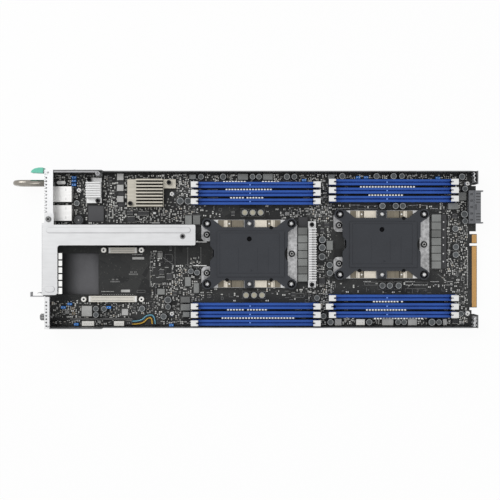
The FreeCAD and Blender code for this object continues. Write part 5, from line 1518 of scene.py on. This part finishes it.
def make_fingers():
    """The contact strip: a flat root along the shelf and six bowed spring fingers that dip at their ends."""
    low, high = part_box("contact_strip")
    strip = Shape("contact_fingers", [FINGER])
    bow = [(high[0] - back, high[2] + rise) for back, rise in FINGER_BOW]
    section = [(x, z - FINGER_SHEET) for x, z in bow] + list(reversed(bow))
    strip.box(low, (bow[0][0] + FINGER_LAP, high[1], high[2]))
    starts = [low[1]] + [(gap + FINGER_GAP) * MM for gap in FINGER_GAPS]
    ends = [gap * MM for gap in FINGER_GAPS] + [high[1]]
    for start, end in zip(starts, ends):
        strip.bar(section, start, end)
    strip.build(replaces=["contact_strip"])


def pill(x0, x1, y, r):
    """A rounded bar in plan, from x0 to x1 at its arc middles."""
    points = []
    for at, first in ((x1, -90), (x0, 90)):
        for i in range(13):
            turn = math.radians(first + 180 * i / 12)
            points.append((at + r * math.cos(turn), y + r * math.sin(turn)))
    return points


RIB_SHADE = 0.2 * MM
SHADE_LEVELS = mm(-0.02, 0.04)
BRACKET_SHEET = 1 * MM
# The bracket's two ribs: where each starts and ends, how far in from a side it lies and half its width.
LONG_RIB_START, LONG_RIB_END, LONG_RIB_IN, LONG_RIB_HALF = mm(5.3, 8.4, 17.9, 3.25)
SHORT_RIB_START, SHORT_RIB_END, SHORT_RIB_IN, SHORT_RIB_HALF = mm(3.8, 8.1, 6.4, 3.4)
# Rows of holes: how many, where the row starts and its pitch, in millimetres.
FINE_HOLES, FINE_START, FINE_PITCH = 37, 3, 2
FLANGE_HOLES, FLANGE_START, FLANGE_PITCH = 18, 1.5, 2.6
FINE_INSET, FLANGE_INSET, FLANGE_END = mm(1.1, 0.8, 2)
RIVET_IN, RIVET_BACK = mm(3, 4)
FINE_HOLE = [mm(0.34, -0.1), mm(0.34, 0.03)]
FLANGE_HOLE = [mm(0.4, -0.1), mm(0.4, 0.03)]
PANEL_RIVET = [mm(1.2, -0.1), mm(1.1, 0.3), mm(0.5, 0.4)]


def make_bracket_details():
    """Bands of painted shade along the low side of the bracket's pressed ribs, its fine holes, panel holes
    and rivets.
    """
    trim = Shape("bracket_trim", [GREY_STEEL_AND_SHADE, DARK])
    low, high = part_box("riser_bracket")
    (rear, near, _), (_, far, flange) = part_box("rear_panel")
    skin = flange + BRACKET_SHEET
    ribs = [(rear + LONG_RIB_START, high[0] - LONG_RIB_END, high[1] - LONG_RIB_IN, LONG_RIB_HALF),
            (rear + SHORT_RIB_START, rear + SHORT_RIB_END, low[1] + SHORT_RIB_IN, SHORT_RIB_HALF)]
    foot, lip = (skin + level for level in SHADE_LEVELS)
    for start, end, y, r in ribs:
        # Each band is shifted down and to the right of its rib, so its painted shade shows only on that side.
        trim.prism(pill(start + RIB_SHADE, end + RIB_SHADE, y - RIB_SHADE, r), foot, lip)
    for k in range(FINE_HOLES):
        y = low[1] + (FINE_START + FINE_PITCH * k) * MM
        trim.turned((low[0] + FINE_INSET, y, skin), FINE_HOLE, GREY_STEEL_AND_SHADE, 8)
    for k in range(FLANGE_HOLES):
        y = high[1] - (FLANGE_START - FLANGE_PITCH * (k + 1)) * MM
        if y < far - FLANGE_END:
            trim.turned((rear + FLANGE_INSET, y, flange), FLANGE_HOLE, DARK, 8)
    for y in (far - RIVET_IN, near + RIVET_IN):
        trim.turned((rear + RIVET_BACK, y, flange), PANEL_RIVET, GREY_STEEL_AND_SHADE, 16)
    trim.build()


# Creases of one ear's flap in plan: how far each point lies behind the front and in from the side. A layer
# is its side of the tray and how far it stands ahead.
EAR_CREASE = [(5.4, 1.6), (3.6, 3.2), (5.2, 5.4), (3.4, 7.6), (4.6, 9.8), (2.8, 12.4)]
EAR_SHEET = 1.2 * MM
EAR_LEVELS = mm(1, 20.5)
EAR_LAYERS = ((-1, 0), (-1, 1.5), (1, 0))


def make_ear_folds():
    """A creased flap in front of each of the tray's two front ears, double at the near side."""
    folds = Shape("ear_folds", [STEEL])
    low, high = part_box("tray")
    for side, ahead in EAR_LAYERS:
        edge = high[1] if side > 0 else low[1]
        near = [(high[0] - (back - ahead) * MM, edge - side * inward * MM) for back, inward in EAR_CREASE]
        plan = near + [(x + EAR_SHEET, y) for x, y in reversed(near)]
        if side > 0:
            plan.reverse()
        folds.prism(plan, *EAR_LEVELS)
    folds.build(bevel=0.2 * MM)


# The leaf spring beside the slot cover's tab, as the photograph shows it.
SPRING_LEAF = [(46.2, 295.2), (44.4, 294.5), (42, 293.9), (39.4, 292.5), (37, 293.2)]
LEAF_HALF, LEAF_SEAT, LEAF_FOOT = mm(0.25, 0.4, 3)


def make_cover_spring():
    """A wavy leaf spring that stands off the slot cover's tab."""
    low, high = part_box("slot_cover")
    leaf = Shape("cover_spring", [KNOB])
    scale = (CAMERA_HEIGHT - high[2]) / (CAMERA_HEIGHT - TOP)
    under = Vector(mm(VIEW_X, VIEW_Y))
    plan = [under + (Vector(at_pixel(*place)) - under) * scale for place in SPRING_LEAF]
    plan[0].y = low[1] + LEAF_SEAT
    across = Vector((0, LEAF_HALF))
    sides = [tuple(p + across) for p in plan] + [tuple(p - across) for p in reversed(plan)]
    leaf.prism(sides, low[2] + LEAF_FOOT, high[2])
    leaf.build()


def light_rays(tree):
    """One for rays from the camera, and for those that metal or glass sends on."""
    path = add_node(tree, "LightPath", {}).outputs
    seen = reckon(tree, "MAXIMUM", path["Is Camera Ray"], path["Is Glossy Ray"])
    return reckon(tree, "MAXIMUM", seen, path["Is Transmission Ray"])


SKY_LEVEL = 0.5
FLOOR_GLOW = 0.94
FLOOR_REACH = 4
FLOOR_DROP = 0.5 * MM
LAMPS = [("key", (-0.9, 0.8, 1.4), 1.1, 14), ("fill", (0.9, -0.9, 1.2), 1.2, 5)]


def add_sky():
    """An even sky that is white to the camera."""
    world = bpy.data.worlds.new("studio")
    bpy.context.scene.world = world
    world.use_nodes = True
    tree = world.node_tree
    level = add_node(tree, "MapRange", {"Value": light_rays(tree), "To Min": SKY_LEVEL}).outputs[0]
    wire(tree, tree.nodes["Background"].inputs, {"Color": (1, 1, 1, 1), "Strength": level})


def add_floor():
    """A white floor that keeps a faint shadow."""
    mesh = bpy.data.meshes.new("floor")
    corners = [(-1, -1), (1, -1), (1, 1), (-1, 1)]
    mesh.from_pydata([(FLOOR_REACH * x, FLOOR_REACH * y, 0) for x, y in corners], [], [(0, 1, 2, 3)])
    floor = bpy.data.objects.new("floor", mesh)
    floor.location.z = -FLOOR_DROP
    bpy.context.scene.collection.objects.link(floor)
    paint = bpy.data.materials.new("floor_white")
    paint.use_nodes = True
    tree = paint.node_tree
    shader = tree.nodes["Principled BSDF"]
    wire(tree, shader.inputs, {"Base Color": (0.9, 0.9, 0.9, 1), "Roughness": 0.9})
    glow = add_node(tree, "Emission", {})
    share = reckon(tree, "MULTIPLY", light_rays(tree), FLOOR_GLOW)
    mix = add_node(tree, "MixShader", {"Fac": share, 1: shader.outputs[0], 2: glow.outputs[0]})
    wire(tree, tree.nodes["Material Output"].inputs, {"Surface": mix.outputs[0]})
    mesh.materials.append(paint)


def add_lamps():
    """Two soft lamps that face the sled."""
    for name, place, size, power in LAMPS:
        lamp = bpy.data.lights.new(name, "AREA")
        lamp.size = size
        lamp.energy = power
        light = bpy.data.objects.new(name, lamp)
        light.location = place
        light.rotation_euler = Vector(place).to_track_quat("Z", "Y").to_euler()
        bpy.context.scene.collection.objects.link(light)


add_camera()
make_leads()
make_lead_clip()
bpy.context.scene.view_settings.view_transform = "Standard"
add_sky()
add_floor()
add_lamps()
dress_nodes()
make_cans()
make_chokes()
make_screws()
make_posts()
make_push_pins()
make_sounder()
make_post_rims()
make_handle()
make_knob()
make_memory_details()
make_connector_details()
make_jack_details()
make_spring_bands()
make_socket_frames()
make_guide_clips()
for cover, cpu in zip(COVERS, CPUS):
    make_cover_details(cover, cpu)
make_marked_parts()
make_small_parts()
make_print()
make_sink_details()
make_strip_gap_shade()
make_fingers()
make_bracket_details()
make_ear_folds()
make_cover_spring()
